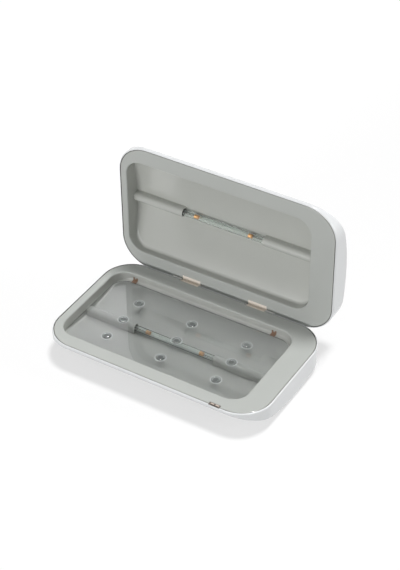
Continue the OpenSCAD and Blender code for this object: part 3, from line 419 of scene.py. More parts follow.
class Surface:
    """Collects rings and patches of one closed surface."""

    def __init__(self):
        self.bm = bmesh.new()

    def rings(self, rings, finish=0):
        rows = [[self.bm.verts.new(p) for p in ring] for ring in rings]
        count = len(rows[0])
        for row, next_row in zip(rows, rows[1:]):
            for i in range(count):
                face = self.bm.faces.new((row[i], row[(i + 1) % count], next_row[(i + 1) % count], next_row[i]))
                face.material_index = finish

    def plain_beside_hinge(self, finish):
        """Along the hinge the painted shade is left off, so that side keeps the moulding's own finish."""
        for face in self.bm.faces:
            if face.material_index == finish and all(vert.co.y > BOX_D / 2 - HINGE_STRIP for vert in face.verts):
                face.material_index = 0

    def patch(self, low, high, depth, finish=0):
        """The rectangle inside the innermost ring."""
        rows = []
        for j in range(SHORT_STEPS + 1):
            y = low[1] + (high[1] - low[1]) * j / SHORT_STEPS
            row = []
            for i in range(LONG_STEPS + 1):
                x = low[0] + (high[0] - low[0]) * i / LONG_STEPS
                row.append(self.bm.verts.new((x, y, -depth(y))))
            rows.append(row)
        for row, next_row in zip(rows, rows[1:]):
            for i in range(LONG_STEPS):
                face = self.bm.faces.new((row[i], row[i + 1], next_row[i + 1], next_row[i]))
                face.material_index = finish

    def cap(self, ring, finish=0):
        face = self.bm.faces.new([self.bm.verts.new(p) for p in ring])
        face.material_index = finish

    def box(self, low, high):
        corners = [(x, y, z) for x in (low[0], high[0]) for y in (low[1], high[1]) for z in (low[2], high[2])]
        v = [self.bm.verts.new(p) for p in corners]
        for face in ((0, 1, 3, 2), (4, 6, 7, 5), (0, 4, 5, 1), (2, 3, 7, 6), (0, 2, 6, 4), (1, 5, 7, 3)):
            self.bm.faces.new([v[i] for i in face])

    def lathe(self, profile, axis, at, steps=48, finish=0):
        """A closed solid of revolution: profile is (along, radius), at is a point of the axis."""
        at_x, at_y, at_z = (*at, 0.0)[:3]
        rows = []
        for along, radius in profile:
            ring = []
            for i in range(steps):
                angle = 2 * math.pi * i / steps
                a, b = radius * math.cos(angle), radius * math.sin(angle)
                ring.append({
                    "x": (along, at_y + a, at_z + b),
                    "y": (at_x + a, along, at_z + b),
                    "z": (at_x + a, at_y + b, along),
                }[axis])
            rows.append(ring)
        self.rings(rows, finish)

    def bar(self, start, end, radius, axis, at, steps=48):
        """A round bar or bore between two places along an axis."""
        self.lathe([(start, 0), (start, radius), (end, radius), (end, 0)], axis, at, steps)

    def mesh(self, name, place):
        """The surface as a mesh in the box's frame, merged, and with its faces outwards."""
        for vert in self.bm.verts:
            vert.co = place(vert.co)
        bmesh.ops.remove_doubles(self.bm, verts=self.bm.verts, dist=MERGE_MM * MM)
        bmesh.ops.dissolve_degenerate(self.bm, edges=self.bm.edges, dist=MERGE_MM * MM)
        bmesh.ops.recalc_face_normals(self.bm, faces=self.bm.faces)
        mesh = bpy.data.meshes.new(name)
        self.bm.to_mesh(mesh)
        self.bm.free()
        return mesh


def finished_mesh(host):
    """What an object's modifiers make of it, as a plain mesh on the same object."""
    bpy.context.view_layer.update()
    evaluated = host.evaluated_get(bpy.context.evaluated_depsgraph_get())
    mesh = bpy.data.meshes.new_from_object(evaluated)
    host.modifiers.clear()
    host.data = mesh
    return mesh


def solid_object(name, mesh):
    solid = bpy.data.objects.new(name, mesh)
    bpy.context.scene.collection.objects.link(solid)
    return solid


def carve(piece, steps):
    """Joins or cuts a list of (operation, closed mesh) from a piece."""
    helpers = []
    for index, (operation, mesh) in enumerate(steps):
        helper = solid_object(piece.name + "_step", mesh)
        helpers.append(helper)
        modifier = piece.modifiers.new("step" + str(index), "BOOLEAN")
        modifier.operation = operation
        modifier.solver = "EXACT"
        modifier.object = helper
    finished_mesh(piece)
    for helper in helpers:
        bpy.data.objects.remove(helper)


def finish_piece(piece, nodes, materials=None, smooth_deg=SHARP_DEG, bends=None):
    """Smooth shading that keeps flat faces flat, then finish, body and the nodes that the piece stands for."""
    piece.data.shade_smooth()
    piece.data.set_sharp_from_angle(angle=math.radians(smooth_deg))
    flatten = piece.modifiers.new("flat faces", "WEIGHTED_NORMAL")
    flatten.mode = "FACE_AREA"
    flatten.weight = 80
    flatten.keep_sharp = True
    mesh = finished_mesh(piece)
    finishes = [face.material_index for face in mesh.polygons]
    mesh.materials.clear()
    for material in materials or [MATERIALS[SLOT_OF[nodes[0]]]]:
        mesh.materials.append(material)
    # Clearing the list of materials resets every face to the first one
    mesh.polygons.foreach_set("material_index", finishes if materials else [0] * len(finishes))
    mesh.update()
    if bends:
        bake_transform(piece)
    else:
        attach(piece, BODY_OF[nodes[0]])
    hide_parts(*nodes)


# Shells


def shell_surface():
    """Lip, rounded edges, wall and crown of one shell, and its inner side with the liner's seat."""
    skin = Surface()
    lip_drop = LIP_EDGE_R - math.sqrt(LIP_EDGE_R ** 2 - (LIP_EDGE_R - LIP_W) ** 2)
    outer = [box_ring(LIP_W, lip_drop)]
    for sine, cosine in quarter(6):
        inset = LIP_EDGE_R * (1 - sine)
        if inset < LIP_W:
            outer.append(box_ring(inset, LIP_EDGE_R * (1 - cosine)))
    for sine, cosine in quarter(6):
        rise = NOSE_R * (1 - sine)
        outer.append(box_ring(NOSE_R * (1 - cosine), lambda y, rise=rise: crown_at(y) - rise))
    for inset in CROWN_INSETS:
        outer.append(box_ring(inset, crown_at))
    skin.rings(outer)
    # The wall of the seat, beside the groove, takes the painted shade: coloured dark grey, it reads as a fine dark line
    skin.rings([box_ring(LIP_W, lip_drop), box_ring(LIP_W, SEAT_DEPTH), box_ring(SHELL_WALL, SEAT_DEPTH)], 1)
    skin.plain_beside_hinge(1)
    inner = [box_ring(SHELL_WALL, SEAT_DEPTH)]
    for inset in (SHELL_WALL, *CROWN_INSETS):
        inner.append(box_ring(inset, lambda y: crown_at(y, SHELL_WALL)))
    skin.rings(inner)
    low, high = (CORNER_R - BOX_W / 2, CORNER_R - BOX_D / 2), (BOX_W / 2 - CORNER_R, BOX_D / 2 - CORNER_R)
    skin.patch(low, high, crown_at)
    skin.patch(low, high, lambda y: crown_at(y, SHELL_WALL))
    return skin


def boss_steps(place, blind):
    """The four screw bosses: joined to the shell, then bored, and in the base countersunk."""
    bosses, bores = Surface(), Surface()
    for x in (-POST_X, POST_X):
        for y in (-POST_Y, POST_Y):
            skin_z = -crown_at(y)
            bosses.bar(skin_z + BOSS_FOOT, skin_z + BOSS_TOP, BOSS_R, "z", (x, y))
            if blind:
                bores.bar(skin_z + 1.0, skin_z + 4, PIN_ROOM_R, "z", (x, y))
            else:
                outside, head_seat, above = skin_z - 3, skin_z + HEAD_SEAT, skin_z + 4
                bores.lathe([
                    (outside, 0), (outside, SCREW_HEAD_R), (head_seat, SCREW_HEAD_R), (head_seat, SCREW_ROOM_R),
                    (above, SCREW_ROOM_R), (above, 0),
                ], "z", (x, y))
    return [("UNION", bosses.mesh("screw_bosses", place)), ("DIFFERENCE", bores.mesh("screw_bores", place))]


def tab_span(side):
    """X range of the room that a hinge tab turns in, up to its knuckle."""
    return sorted((side * (TAB_X - TAB_GAP), side * KNUCKLE_X))


def base_tab_rooms():
    """Slots in the base's rear edge for the lid's tabs."""
    rooms = Surface()
    for side in (-1, 1):
        low_x, high_x = tab_span(side)
        rooms.box((low_x, HINGE_Y - TAB_ARM, HINGE_Z), (high_x, PAST_REAR, ABOVE_RIM))
    return rooms.mesh("tab_rooms", base_place)


def lid_tab_rooms():
    """Recesses in the lid's rear edge that hold the tabs' plates."""
    rooms = Surface()
    for side in (-1, 1):
        low_x, high_x = tab_span(side)
        rooms.box((low_x, HINGE_Y - LID_TAB_ROOM_FRONT, -LID_TAB_ROOM_DEPTH), (high_x, PAST_REAR, ABOVE_RIM))
    return rooms.mesh("tab_rooms", lid_place)


def socket_holes():
    """Round hole of the power jack and the long one of the charging socket, through the rear wall."""
    inside, outside = 51, 57
    holes = Surface()
    holes.bar(inside, outside, JACK_R, "y", (JACK_X, 0, -SOCKET_DEPTH))
    low_x, high_x = USB_X - USB_HALF_W, USB_X + USB_HALF_W
    low_z, high_z = -SOCKET_DEPTH - USB_HALF_H, -SOCKET_DEPTH + USB_HALF_H
    slot = outline(low_x, low_z, high_x, high_z, USB_HALF_H - 0.001)
    inner, outer = [(x, inside, z) for x, z in slot], [(x, outside, z) for x, z in slot]
    holes.rings([inner, outer])
    holes.cap(inner)
    holes.cap(outer)
    return holes.mesh("socket_holes", base_place)


def base_shell():
    shell = solid_object("base_shell_piece", shell_surface().mesh("base_shell", base_place))
    board_bosses = Surface()
    for y in BOARD_BOSS_YS:
        board_bosses.bar(-crown_at(y) + BOARD_BOSS_FOOT, BOARD_Z, BOARD_BOSS_R, "z", (BOARD_X, y))
    knuckle_rooms, ear_rooms = Surface(), Surface()
    for side in (-1, 1):
        low_x, high_x = tab_span(side)
        ear_rooms.bar(low_x, high_x, EAR_ROOM_R, "x", (0, HINGE_Y, HINGE_Z))
        low_x, high_x = sorted((side * (KNUCKLE_X - 1), side * (KNUCKLE_END + TAB_GAP)))
        knuckle_rooms.box(
            (low_x, HINGE_Y - KNUCKLE_ROOM_FRONT, HINGE_Z - KNUCKLE_ROOM_DROP), (high_x, PAST_REAR, -SEAT_DEPTH)
        )
    switch_room = Surface()
    half_w = SWITCH_ROOM_W / 2
    switch_room.box(
        (SWITCH_X - half_w, SWITCH_ROOM_FRONT, -SWITCH_ROOM_DEPTH), (SWITCH_X + half_w, SWITCH_ROOM_BACK, ABOVE_RIM)
    )
    carve(shell, boss_steps(base_place, False) + [
        ("UNION", board_bosses.mesh("board_bosses", base_place)),
        ("DIFFERENCE", base_tab_rooms()),
        ("DIFFERENCE", ear_rooms.mesh("ear_rooms", base_place)),
        ("DIFFERENCE", knuckle_rooms.mesh("knuckle_rooms", base_place)),
        ("DIFFERENCE", socket_holes()),
        ("DIFFERENCE", switch_room.mesh("switch_room", base_place)),
    ])
    finish_piece(shell, ["base_outer_shell"], [MATERIALS["gloss_white"], SHADOW_GAP])


def lid_shell():
    shell = solid_object("lid_shell_piece", shell_surface().mesh("lid_shell", lid_place))
    lens_hole = Surface()
    lens_hole.bar(-25, -15, LENS_R + 0.1, "z", (0, CROWN_LINE_Y), 40)
    carve(shell, boss_steps(lid_place, True) + [
        ("DIFFERENCE", lid_tab_rooms()),
        ("DIFFERENCE", lens_hole.mesh("lens_hole", lid_place)),
    ])
    finish_piece(shell, ["lid_outer_shell"], [MATERIALS["gloss_white"], SHADOW_GAP])


# Liners


def liner_surface(opening, fillet_r):
    """Rim with rounded edges, cavity wall, fillet and arched floor, and the underside of all that."""
    skin = Surface()
    # Beside the groove the rim's side and the lowest part of its rounded edge take the painted shade, and the rest of
    # that edge has a polished line
    skin.rings([box_ring(RIM_INSET, RIM_T), box_ring(RIM_INSET, RIM_EDGE_R)], 2)
    edge = [box_ring(RIM_INSET + RIM_EDGE_R * (1 - cosine), RIM_EDGE_R * (1 - sine)) for sine, cosine in quarter(4)]
    skin.rings(edge[:2], 2)
    skin.plain_beside_hinge(2)
    skin.rings(edge[1:], 1)
    rim = [edge[-1]]
    for sine, cosine in quarter(5):
        rim.append(opening_ring(opening, -OPENING_EDGE_R * (1 - sine), OPENING_EDGE_R * (1 - cosine)))
    skin.rings(rim, 0)
    cavity = [opening_ring(opening, 0, OPENING_EDGE_R)]
    for sine, cosine in quarter(6):
        rise = fillet_r * (1 - sine)
        cavity.append(opening_ring(opening, fillet_r * (1 - cosine), lambda y, rise=rise: floor_at(y) - rise))
    for inset in (4.5, 6.5, 9, 11, OPENING_R):
        cavity.append(opening_ring(opening, inset, floor_at))
    skin.rings(cavity, 1)
    under = [box_ring(RIM_INSET, RIM_T), opening_ring(opening, -TUB_WALL, RIM_T)]
    for inset in (-TUB_WALL, 2, 5, 8, 11, OPENING_R):
        under.append(opening_ring(opening, inset, lambda y: floor_at(y, FLOOR_T)))
    skin.rings(under, 0)
    low, high = (opening[0] + OPENING_R, opening[1] + OPENING_R), (opening[2] - OPENING_R, opening[3] - OPENING_R)
    skin.patch(low, high, floor_at, 1)
    skin.patch(low, high, lambda y: floor_at(y, FLOOR_T))
    return skin


def shroud_steps(opening, place):
    """Hoods over the lamp's ends: joined to wall and floor, rounded at their inner ends, then bored."""
    hoods, bores = Surface(), Surface()
    edge = 0.5
    for wall_x, end_x in ((opening[0], LAMP_X - BARE_L / 2), (opening[2], LAMP_X + BARE_L / 2)):
        out = 1 if wall_x > end_x else -1
        rows = []
        rounding = [(end_x + out * edge * (1 - sine), edge * (1 - cosine)) for sine, cosine in quarter(4)]
        for x, inset in [(wall_x + out * 0.6, 0.0)] + rounding:
            radius = SHROUD_R - inset
            arch = []
            for i in range(ARCH_STEPS + 1):
                angle = math.pi * i / ARCH_STEPS
                arch.append((x, LAMP_Y + radius * math.cos(angle), -LAMP_DEPTH + radius * math.sin(angle)))
            foot = -FLOOR_DEPTH - 0.4
            rows.append(arch + [(x, LAMP_Y - radius, foot), (x, LAMP_Y + radius, foot)])
        hoods.rings(rows, 1)
        hoods.cap(rows[0], 1)
        hoods.cap(rows[-1], 1)
        start, end = sorted((wall_x + out * (TUB_WALL + 1), end_x - out * 1))
        bores.bar(start, end, SHROUD_BORE_R, "x", (0, LAMP_Y, -LAMP_DEPTH))
    return [("UNION", hoods.mesh("lamp_hoods", place)), ("DIFFERENCE", bores.mesh("hood_bores", place))]


def post_steps(place, pin):
    """Posts under the rim that stand on the shell's bosses; the lid's have a pin, the base's a bore."""
    posts, bores = Surface(), Surface()
    root = -RIM_T / 2
    for x in (-POST_X, POST_X):
        for y in (-POST_Y, POST_Y):
            foot = -crown_at(y) + POST_FOOT
            if pin:
                posts.lathe([
                    (foot - PIN_L, 0), (foot - PIN_L, PIN_R), (foot, PIN_R), (foot, POST_R), (root, POST_R), (root, 0),
                ], "z", (x, y))
            else:
                posts.bar(foot, root, POST_R, "z", (x, y))
                bores.bar(foot - 4, -RIM_T, PIN_R, "z", (x, y))
    steps = [("UNION", posts.mesh("liner_posts", place))]
    if not pin:
        steps.append(("DIFFERENCE", bores.mesh("post_bores", place)))
    return steps


def base_liner():
    liner = solid_object("base_liner_piece", liner_surface(BASE_OPENING, BASE_FILLET_R).mesh("base_liner", base_place))
    barrel_rooms, switch_room = Surface(), Surface()
    for side in (-1, 1):
        low_x, high_x = tab_span(side)
        barrel_rooms.bar(low_x, high_x, BARREL_ROOM_R, "x", (0, HINGE_Y, HINGE_Z))
    half_w, gap = BEZEL_W / 2, 0.15
    switch_room.box((SWITCH_X - half_w - gap, -58, -2.4), (SWITCH_X + half_w + gap, BEZEL_BACK_Y + gap, ABOVE_RIM))
    carve(liner, shroud_steps(BASE_OPENING, base_place) + post_steps(base_place, False) + [
        ("DIFFERENCE", base_tab_rooms()),
        ("DIFFERENCE", barrel_rooms.mesh("barrel_rooms", base_place)),
        ("DIFFERENCE", switch_room.mesh("switch_room", base_place)),
    ])
    finish_piece(liner, ["base_liner"], [MATERIALS["liner_grey"], CAVITY_GLOSS, SHADOW_GAP])


def lid_liner():
    liner = solid_object("lid_liner_piece", liner_surface(LID_OPENING, LID_FILLET_R).mesh("lid_liner", lid_place))
    stakes = Surface()
    for side in (-1, 1):
        for along in (0.25, 0.75):
            stakes.bar(-3.5, -RIM_T / 2, STAKE_R, "z", (side * (TAB_X + along * TAB_W), HINGE_Y - STAKE_BACK))
    carve(liner, shroud_steps(LID_OPENING, lid_place) + post_steps(lid_place, True) + [
        ("UNION", stakes.mesh("tab_stakes", lid_place)),
        ("DIFFERENCE", lid_tab_rooms()),
    ])
    finish_piece(liner, ["lid_liner"], [MATERIALS["liner_grey"], CAVITY_GLOSS, SHADOW_GAP])


# Clear plate, and the nine domes that stand on it


def bump_tree():
    """Sets a copy of a dome on each point of a three by three grid over the plate."""
    tree = bpy.data.node_groups.new("plate_bump_grid", "GeometryNodeTree")
    tree.interface.new_socket("Geometry", in_out="INPUT", socket_type="NodeSocketGeometry")
    for name in ("Pitch X", "Pitch Y", "Middle X", "Middle Y", "Face Z"):
        tree.interface.new_socket(name, in_out="INPUT", socket_type="NodeSocketFloat")
    tree.interface.new_socket("Geometry", in_out="OUTPUT", socket_type="NodeSocketGeometry")
    given = add_node(tree, "NodeGroupInput").outputs
    double = {"operation": "MULTIPLY", 1: 2.0}
    width = add_node(tree, "ShaderNodeMath", double, {0: given["Pitch X"]})
    depth = add_node(tree, "ShaderNodeMath", double, {0: given["Pitch Y"]})
    grid = add_node(tree, "GeometryNodeMeshGrid", {"Vertices X": 3, "Vertices Y": 3}, {
        "Size X": width.outputs[0], "Size Y": depth.outputs[0],
    })
    middle = add_node(tree, "ShaderNodeCombineXYZ", None, {
        "X": given["Middle X"], "Y": given["Middle Y"], "Z": given["Face Z"],
    })
    placed = add_node(tree, "GeometryNodeTransform", None, {
        "Geometry": grid.outputs["Mesh"], "Translation": middle.outputs[0],
    })
    domes = add_node(tree, "GeometryNodeInstanceOnPoints", None, {
        "Points": placed.outputs["Geometry"], "Instance": given["Geometry"],
    })
    real = add_node(tree, "GeometryNodeRealizeInstances", None, {"Geometry": domes.outputs["Instances"]})
    # The painted reflection (dark) and the painted highlight ring (pale) keep their colours; all else is clear silicone
    dark_reflection_faces = add_node(tree, "GeometryNodeMaterialSelection", {"Material": PAINTED_DARK_REFLECTION})
    skirt = add_node(tree, "GeometryNodeMaterialSelection", {"Material": PAINTED_HIGHLIGHT_RING})
    kept = add_node(tree, "FunctionNodeBooleanMath", {"operation": "OR"}, {
        0: dark_reflection_faces.outputs["Selection"], 1: skirt.outputs["Selection"],
    })
    rest = add_node(tree, "FunctionNodeBooleanMath", {"operation": "NOT"}, {0: kept.outputs[0]})
    clear = add_node(tree, "GeometryNodeSetMaterial", {"Material": MATERIALS["clear_silicone"]}, {
        "Geometry": real.outputs["Geometry"], "Selection": rest.outputs[0],
    })
    add_node(tree, "NodeGroupOutput", None, {"Geometry": clear.outputs["Geometry"]})
    return tree


def set_inputs(modifier, values):
    """Sets a tree's named inputs by the identifiers of their sockets."""
    for item in modifier.node_group.interface.items_tree:
        if item.item_type == "SOCKET" and item.in_out == "INPUT" and item.name in values:
            modifier[item.identifier] = values[item.name]


def clear_plate():
    """Sheet with flame-polished edges, just smaller than the cavity."""
    slab = Surface()
    low_x, high_x = BASE_OPENING[0] + PLATE_END_GAP, BASE_OPENING[2] - PLATE_END_GAP
    low_y, high_y = BASE_OPENING[1] + PLATE_SIDE_GAP, BASE_OPENING[3] - PLATE_SIDE_GAP
    radius = OPENING_R - PLATE_END_GAP
    # The flame rounds each edge over 0.2 mm
    polish, curve = 0.2, 0.06
    upper = ((polish, 0), (curve, curve), (0, polish))
    lower = ((0, PLATE_T - polish), (curve, PLATE_T - curve), (polish, PLATE_T))
    rows = []
    for inset, depth in upper + lower:
        flat = outline(low_x + inset, low_y + inset, high_x - inset, high_y - inset, radius - inset)
        rows.append([(x, y, -PLATE_DEPTH - depth) for x, y in flat])
    slab.rings(rows)
    slab.cap(rows[0])
    slab.cap(rows[-1])
    plate = solid_object("clear_plate_piece", slab.mesh("clear_plate", base_place))
    finish_piece(plate, ["clear_plate"], smooth_deg=12)


def plate_bumps():
    """Nine domes with a thin skirt, a creased shoulder and a dished top, set just clear of the plate."""
    ball_r = (BUMP_R ** 2 + BUMP_H ** 2) / (2 * BUMP_H)
    gap, brim, dish_r, dish = 0.03, 0.3, 0.62 * BUMP_R, 0.35
    reflection_disc_r, skirt_r, pale_ring_inner_r, shoulder_r = 0.56 * BUMP_R, 1.28 * BUMP_R, 1.15 * BUMP_R, 0.86 * BUMP_R
    profile = [
        (gap, 0.0), (gap, reflection_disc_r), (gap + 0.01, reflection_disc_r + 0.05), (gap + 0.01, skirt_r - 0.1), (gap + 0.04, skirt_r),
        (gap + 0.13, skirt_r - 0.04), (gap + 0.14, pale_ring_inner_r), (gap + 0.15, BUMP_R + 0.02), (gap + 0.2, BUMP_R),
    ]
    rows = 18
    for step in range(1, rows + 1):
        radius = BUMP_R * (1 - step / rows)
        height = BUMP_H - ball_r + math.sqrt(ball_r ** 2 - radius ** 2)
        if radius > shoulder_r:
            height = min(height, brim)
        if radius < dish_r:
            height = min(height, BUMP_H - 0.32) - dish * (1 - (radius / dish_r) ** 2) ** 2 * 0.8
        profile.append((max(height, gap + 0.21), radius))
    dome = Surface()
    dome.lathe(profile, "z", (0, 0), 44)
    # Painted reflection: the middle of the underside and the brim's side are coloured dark grey, as the domes mirror
    # the dark lid; painted highlight: the skirt is coloured pale, to draw a bright ring
    for face in dome.bm.faces:
        reach = [math.hypot(vert.co.x, vert.co.y) for vert in face.verts]
        top = max(vert.co.z for vert in face.verts)
        if top < gap + 0.001 or (top > gap + 0.16 and min(reach) > 0.93 * BUMP_R):
            face.material_index = 1
        elif top > gap + 0.1 and min(reach) > 1.13 * BUMP_R:
            face.material_index = 2
    bumps = solid_object("plate_bumps_piece", dome.mesh("plate_bumps", lambda p: Vector(p) * MM))
    bumps.data.materials.append(MATERIALS["clear_silicone"])
    bumps.data.materials.append(PAINTED_DARK_REFLECTION)
    bumps.data.materials.append(PAINTED_HIGHLIGHT_RING)
    modifier = bumps.modifiers.new("bumps", "NODES")
    modifier.node_group = bump_tree()
    set_inputs(modifier, {
        "Pitch X": BUMP_PITCH[0] * MM, "Pitch Y": BUMP_PITCH[1] * MM, "Middle X": BUMP_MIDDLE[0] * MM,
        "Middle Y": (BUMP_MIDDLE[1] + BASE_Y) * MM, "Face Z": (RIM_Z - PLATE_DEPTH) * MM,
    })
    finished_mesh(bumps)
    finish_piece(bumps, ["plate_bumps"], list(bumps.data.materials), smooth_deg=30)


# Lamps


def lamp(node_start, opening, place):
    """One tube with pinched ends, and its two flared electrode cups on their leads."""
    start, end = opening[0] + 2, opening[2] - 2
    axis_at = (0, LAMP_Y, -LAMP_DEPTH)
    # Each end as (distance from the end, radius), outside and inside the glass
    pinch = [(0, 0.0), (0, 1.2), (0.6, 1.9), (1.6, TUBE_R)]
    hollow = [(2.5, 0.0), (2.6, 0.8), (3.2, 1.5), (4.2, TUBE_BORE_R)]
    tube, bore = Surface(), Surface()
    for surface, half in ((tube, pinch), (bore, hollow)):
        near_end = [(start + along, radius) for along, radius in half]
        far_end = [(end - along, radius) for along, radius in reversed(half)]
        surface.lathe(near_end + far_end, "x", axis_at, 40)
    glass = solid_object(node_start + "_tube_piece", tube.mesh(node_start + "_tube", place))
    carve(glass, [("DIFFERENCE", bore.mesh("tube_bore", place))])
    finish_piece(glass, [node_start + "_tube"])
    cups = Surface()
    for side in (-1, 1):
        x = LAMP_X + side * ELECTRODE_PITCH / 2
        far = start - 1 if side < 0 else end + 1
        # Mouth of the cup, facing the middle of the tube, then its rolled collar and its waist
        cups.lathe([
            (x - side * 1.0, 0.0), (x - side * 1.0, 0.9), (x - side * 1.75, 1.15), (x - side * 1.8, 1.5),
            (x - side * 1.6, 1.72), (x - side * 1.2, 1.75), (x - side * 1.0, 1.6), (x + side * 0.9, 1.55),
            (x + side * 1.1, 1.7), (x + side * 1.4, 1.7), (x + side * 1.6, 1.4), (x + side * 1.8, 0.7),
            (x + side * 1.8, 0.0),
        ], "x", axis_at, 28)
        lead, lead_r = x + side * 1.75, 0.3
        cups.lathe([(lead, 0.0), (lead, lead_r), (far, lead_r), (far, 0.0)], "x", axis_at, 16, 1)
    cup_piece = solid_object(node_start + "_electrode_piece", cups.mesh(node_start + "_electrodes", place))
    finish_piece(cup_piece, [node_start + "_electrodes"], [MATERIALS["electrode_metal"], LEAD_WIRE])


# Small pieces: copies of the solids with their edges softened, as moulds and tools leave them


def hinge_tab_laps():
    """Each hinge tab laps a little way over the lid's rim, a thin cream strip that stands just proud of it."""
    laps = Surface()
    for side in (-1, 1):
        near, far = sorted((side * TAB_X, side * (TAB_X + TAB_W)))
        laps.box((near, LAP_FRONT, -LAP_ROOT), (far, LAP_REAR, LAP_PROUD))
    return laps.mesh("hinge_tab_laps", lid_place)


def solid_copy(node):
    """A copy of a solid to work on, and the mesh that it goes back to."""
    mesh = frame["nodes"][node].data.copy()
    bm = bmesh.new()
    bm.from_mesh(mesh)
    return bm, mesh


def softened(node, edge_mm, added=None):
    """The solid, with another mesh joined to it if there is one, and its sharp edges rounded."""
    bm, mesh = solid_copy(node)
    if added:
        bm.from_mesh(added)
    bmesh.ops.remove_doubles(bm, verts=bm.verts, dist=SOLID_MERGE_MM * MM)
    bmesh.ops.dissolve_limit(bm, angle_limit=math.radians(0.6), verts=bm.verts, edges=bm.edges)
    bm.to_mesh(mesh)
    bm.free()
    piece = solid_object(node + "_piece", mesh)
    bevel = piece.modifiers.new("edges", "BEVEL")
    bevel.width = edge_mm * MM
    bevel.segments = 2
    bevel.limit_method = "ANGLE"
    bevel.angle_limit = math.radians(SHARP_DEG)
    finished_mesh(piece)
    finish_piece(piece, [node])
    return piece


def rubber_feet():
    """Four feet with a rounded tread edge and a shallow dimple, their tops following the crown."""
    tread = [(0.0, 0.35), (2.6, 0.35), (3.0, 0.0), (4.4, 0.0), (4.85, 0.12), (5.0, 0.5), (5.25, 3.5)]
    angles = [2 * math.pi * i / FOOT_STEPS for i in range(FOOT_STEPS)]
    feet = Surface()
    for x in (-FOOT_X, FOOT_X):
        for y in FOOT_YS:
            rows = []
            for radius, height in tread:
                rows.append([(x + radius * math.cos(a), y + radius * math.sin(a), -RIM_Z + height) for a in angles])
            for radius in (5.45, 0.0):
                top = [(x + radius * math.cos(a), y + radius * math.sin(a)) for a in angles]
                rows.append([(px, py, max(-crown_at(py) - 0.03, -RIM_Z + 0.9)) for px, py in top])
            # The side wall stops at the crown
            rows[-3] = [(px, py, min(pz, -crown_at(py) - 0.2)) for px, py, pz in rows[-3]]
            feet.rings(rows)
    piece = solid_object("rubber_feet_piece", feet.mesh("rubber_feet", base_place))
    finish_piece(piece, ["rubber_feet"])


def leaf_spring():
    """The switch's leaf, cut across into slices from its root to its tip; it stays where the solid has it."""
    bm, mesh = solid_copy("switch_leaf_spring")
    bmesh.ops.remove_doubles(bm, verts=bm.verts, dist=SOLID_MERGE_MM * MM)
    root, tip = max(vert.co.y for vert in bm.verts), min(vert.co.y for vert in bm.verts)
    for step in range(1, SPRING_STEPS):
        everything = bm.verts[:] + bm.edges[:] + bm.faces[:]
        cut = root + (tip - root) * step / SPRING_STEPS
        bmesh.ops.bisect_plane(bm, geom=everything, plane_co=(0, cut, 0), plane_no=(0, 1, 0))
    bm.to_mesh(mesh)
    bm.free()
    piece = solid_object("switch_leaf_spring_piece", mesh)
    under_bar = tip + 1.0 * MM
    finish_piece(piece, ["switch_leaf_spring"], bends=("base", "button", (0, root, 0), (0, under_bar, 0)))


def small_pieces():
    rounding_mm = {
        "base_hinge_knuckles": 0.2, "switch_bezel": 0.1, "plate_clips": 0.08, "dc_power_jack": 0.15,
        "status_light_lens": 0.12, "switch_body": 0.2, "control_board": 0.1, "ballast_transformers": 0.3,
        "ballast_capacitors": 0.4, "board_chips": 0.12, "base_lamp_end_caps": 0.15, "lid_lamp_end_caps": 0.15,
        "base_screws": 0.12, "board_screws": 0.2,
    }
    for node, edge_mm in rounding_mm.items():
        softened(node, edge_mm)
    softened("lid_hinge_tabs", 0.25, added=hinge_tab_laps())
    plunger = softened("switch_plunger", 0.15)
    # Painted light: the plunger takes a paler copy of the bronze, so it reads as the light line between darker strips
    plunger.data.materials[0] = CONTACT_BAR


base_shell()
lid_shell()
base_liner()
lid_liner()
clear_plate()
plate_bumps()
lamp("base_lamp", BASE_OPENING, base_place)
lamp("lid_lamp", LID_OPENING, lid_place)
rubber_feet()
leaf_spring()
small_pieces()


# Floor, light and world


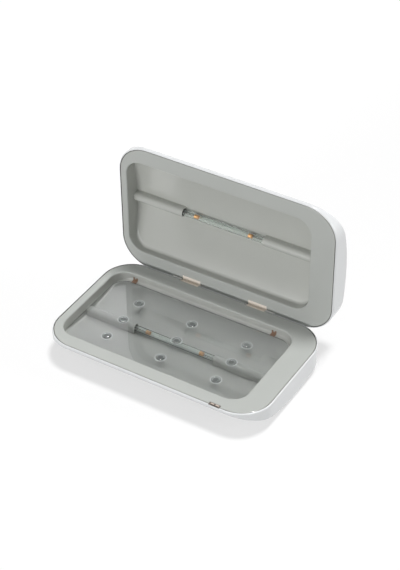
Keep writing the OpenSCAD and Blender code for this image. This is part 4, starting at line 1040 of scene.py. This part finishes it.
def seen_directly(owner):
    """One for rays of the camera, and of gloss and glass that it looks at; none for scattered light."""
    rays = add_node(owner, "ShaderNodeLightPath").outputs
    larger, more_than = {"operation": "MAXIMUM"}, {"operation": "GREATER_THAN", 1: 0.5}
    seen = add_node(owner, "ShaderNodeMath", larger, {0: rays["Is Camera Ray"], 1: rays["Is Glossy Ray"]})
    seen = add_node(owner, "ShaderNodeMath", larger, {0: seen.outputs[0], 1: rays["Is Transmission Ray"]})
    scattered = add_node(owner, "ShaderNodeMath", more_than, {0: rays["Diffuse Depth"]}).outputs[0]
    straight = add_node(owner, "ShaderNodeMath", {"operation": "SUBTRACT", 0: 1.0}, {1: scattered}).outputs[0]
    both = add_node(owner, "ShaderNodeMath", {"operation": "MULTIPLY"}, {0: seen.outputs[0], 1: straight})
    return both.outputs[0]


def add_floor():
    """White paper that the camera, gloss and glass see as white, with the box's shadow on it."""
    mesh = bpy.data.meshes.new("floor")
    reach = 4.0
    corners = [(-reach, -reach, 0), (reach, -reach, 0), (reach, reach, 0), (-reach, reach, 0)]
    mesh.from_pydata(corners, [], [(0, 1, 2, 3)])
    floor = bpy.data.objects.new("floor", mesh)
    bpy.context.scene.collection.objects.link(floor)
    material, shader = new_material("white_paper_floor", {
        "Roughness": 0.9, "Base Color": linear("ACACAC"), "Specular IOR Level": 0.1, "Emission Color": (1, 1, 1, 1),
    })
    own_light = 0.6
    strength = add_node(material, "ShaderNodeMath", {"operation": "MULTIPLY", 1: own_light}, {
        0: seen_directly(material),
    })
    material.node_tree.links.new(strength.outputs[0], shader.inputs["Emission Strength"])
    mesh.materials.append(material)


def add_sun(name, towards, strength, angle_deg):
    """A broad soft light from a direction given as a vector towards it."""
    data = bpy.data.lights.new(name, "SUN")
    data.energy = strength
    data.angle = math.radians(angle_deg)
    lamp_object = bpy.data.objects.new(name, data)
    lamp_object.rotation_euler = Vector(towards).to_track_quat("Z", "Y").to_euler()
    bpy.context.scene.collection.objects.link(lamp_object)


def add_world(strength):
    """A plain white surrounding: dim as light, white to the camera, to gloss and through glass."""
    world = bpy.data.worlds.new("soft_studio")
    world.use_nodes = True
    bpy.context.scene.world = world
    background = world.node_tree.nodes["Background"]
    background.inputs["Color"].default_value = (1, 1, 1, 1)
    level = add_node(world, "ShaderNodeMapRange", {"To Min": strength, "To Max": 1.0}, {"Value": seen_directly(world)})
    world.node_tree.links.new(level.outputs["Result"], background.inputs["Strength"])


add_camera()
add_floor()
add_world(0.25)
add_sun("key_above_and_behind", (0.08, 0.21, 0.97), 2.0, 14)
add_sun("low_front_fill", (-0.1, -1.0, 0.12), 1.6, 30)
add_sun("low_side_light", (0.9, 0.45, 0.15), 1.15, 30)
bpy.context.scene.view_settings.view_transform = "Standard"
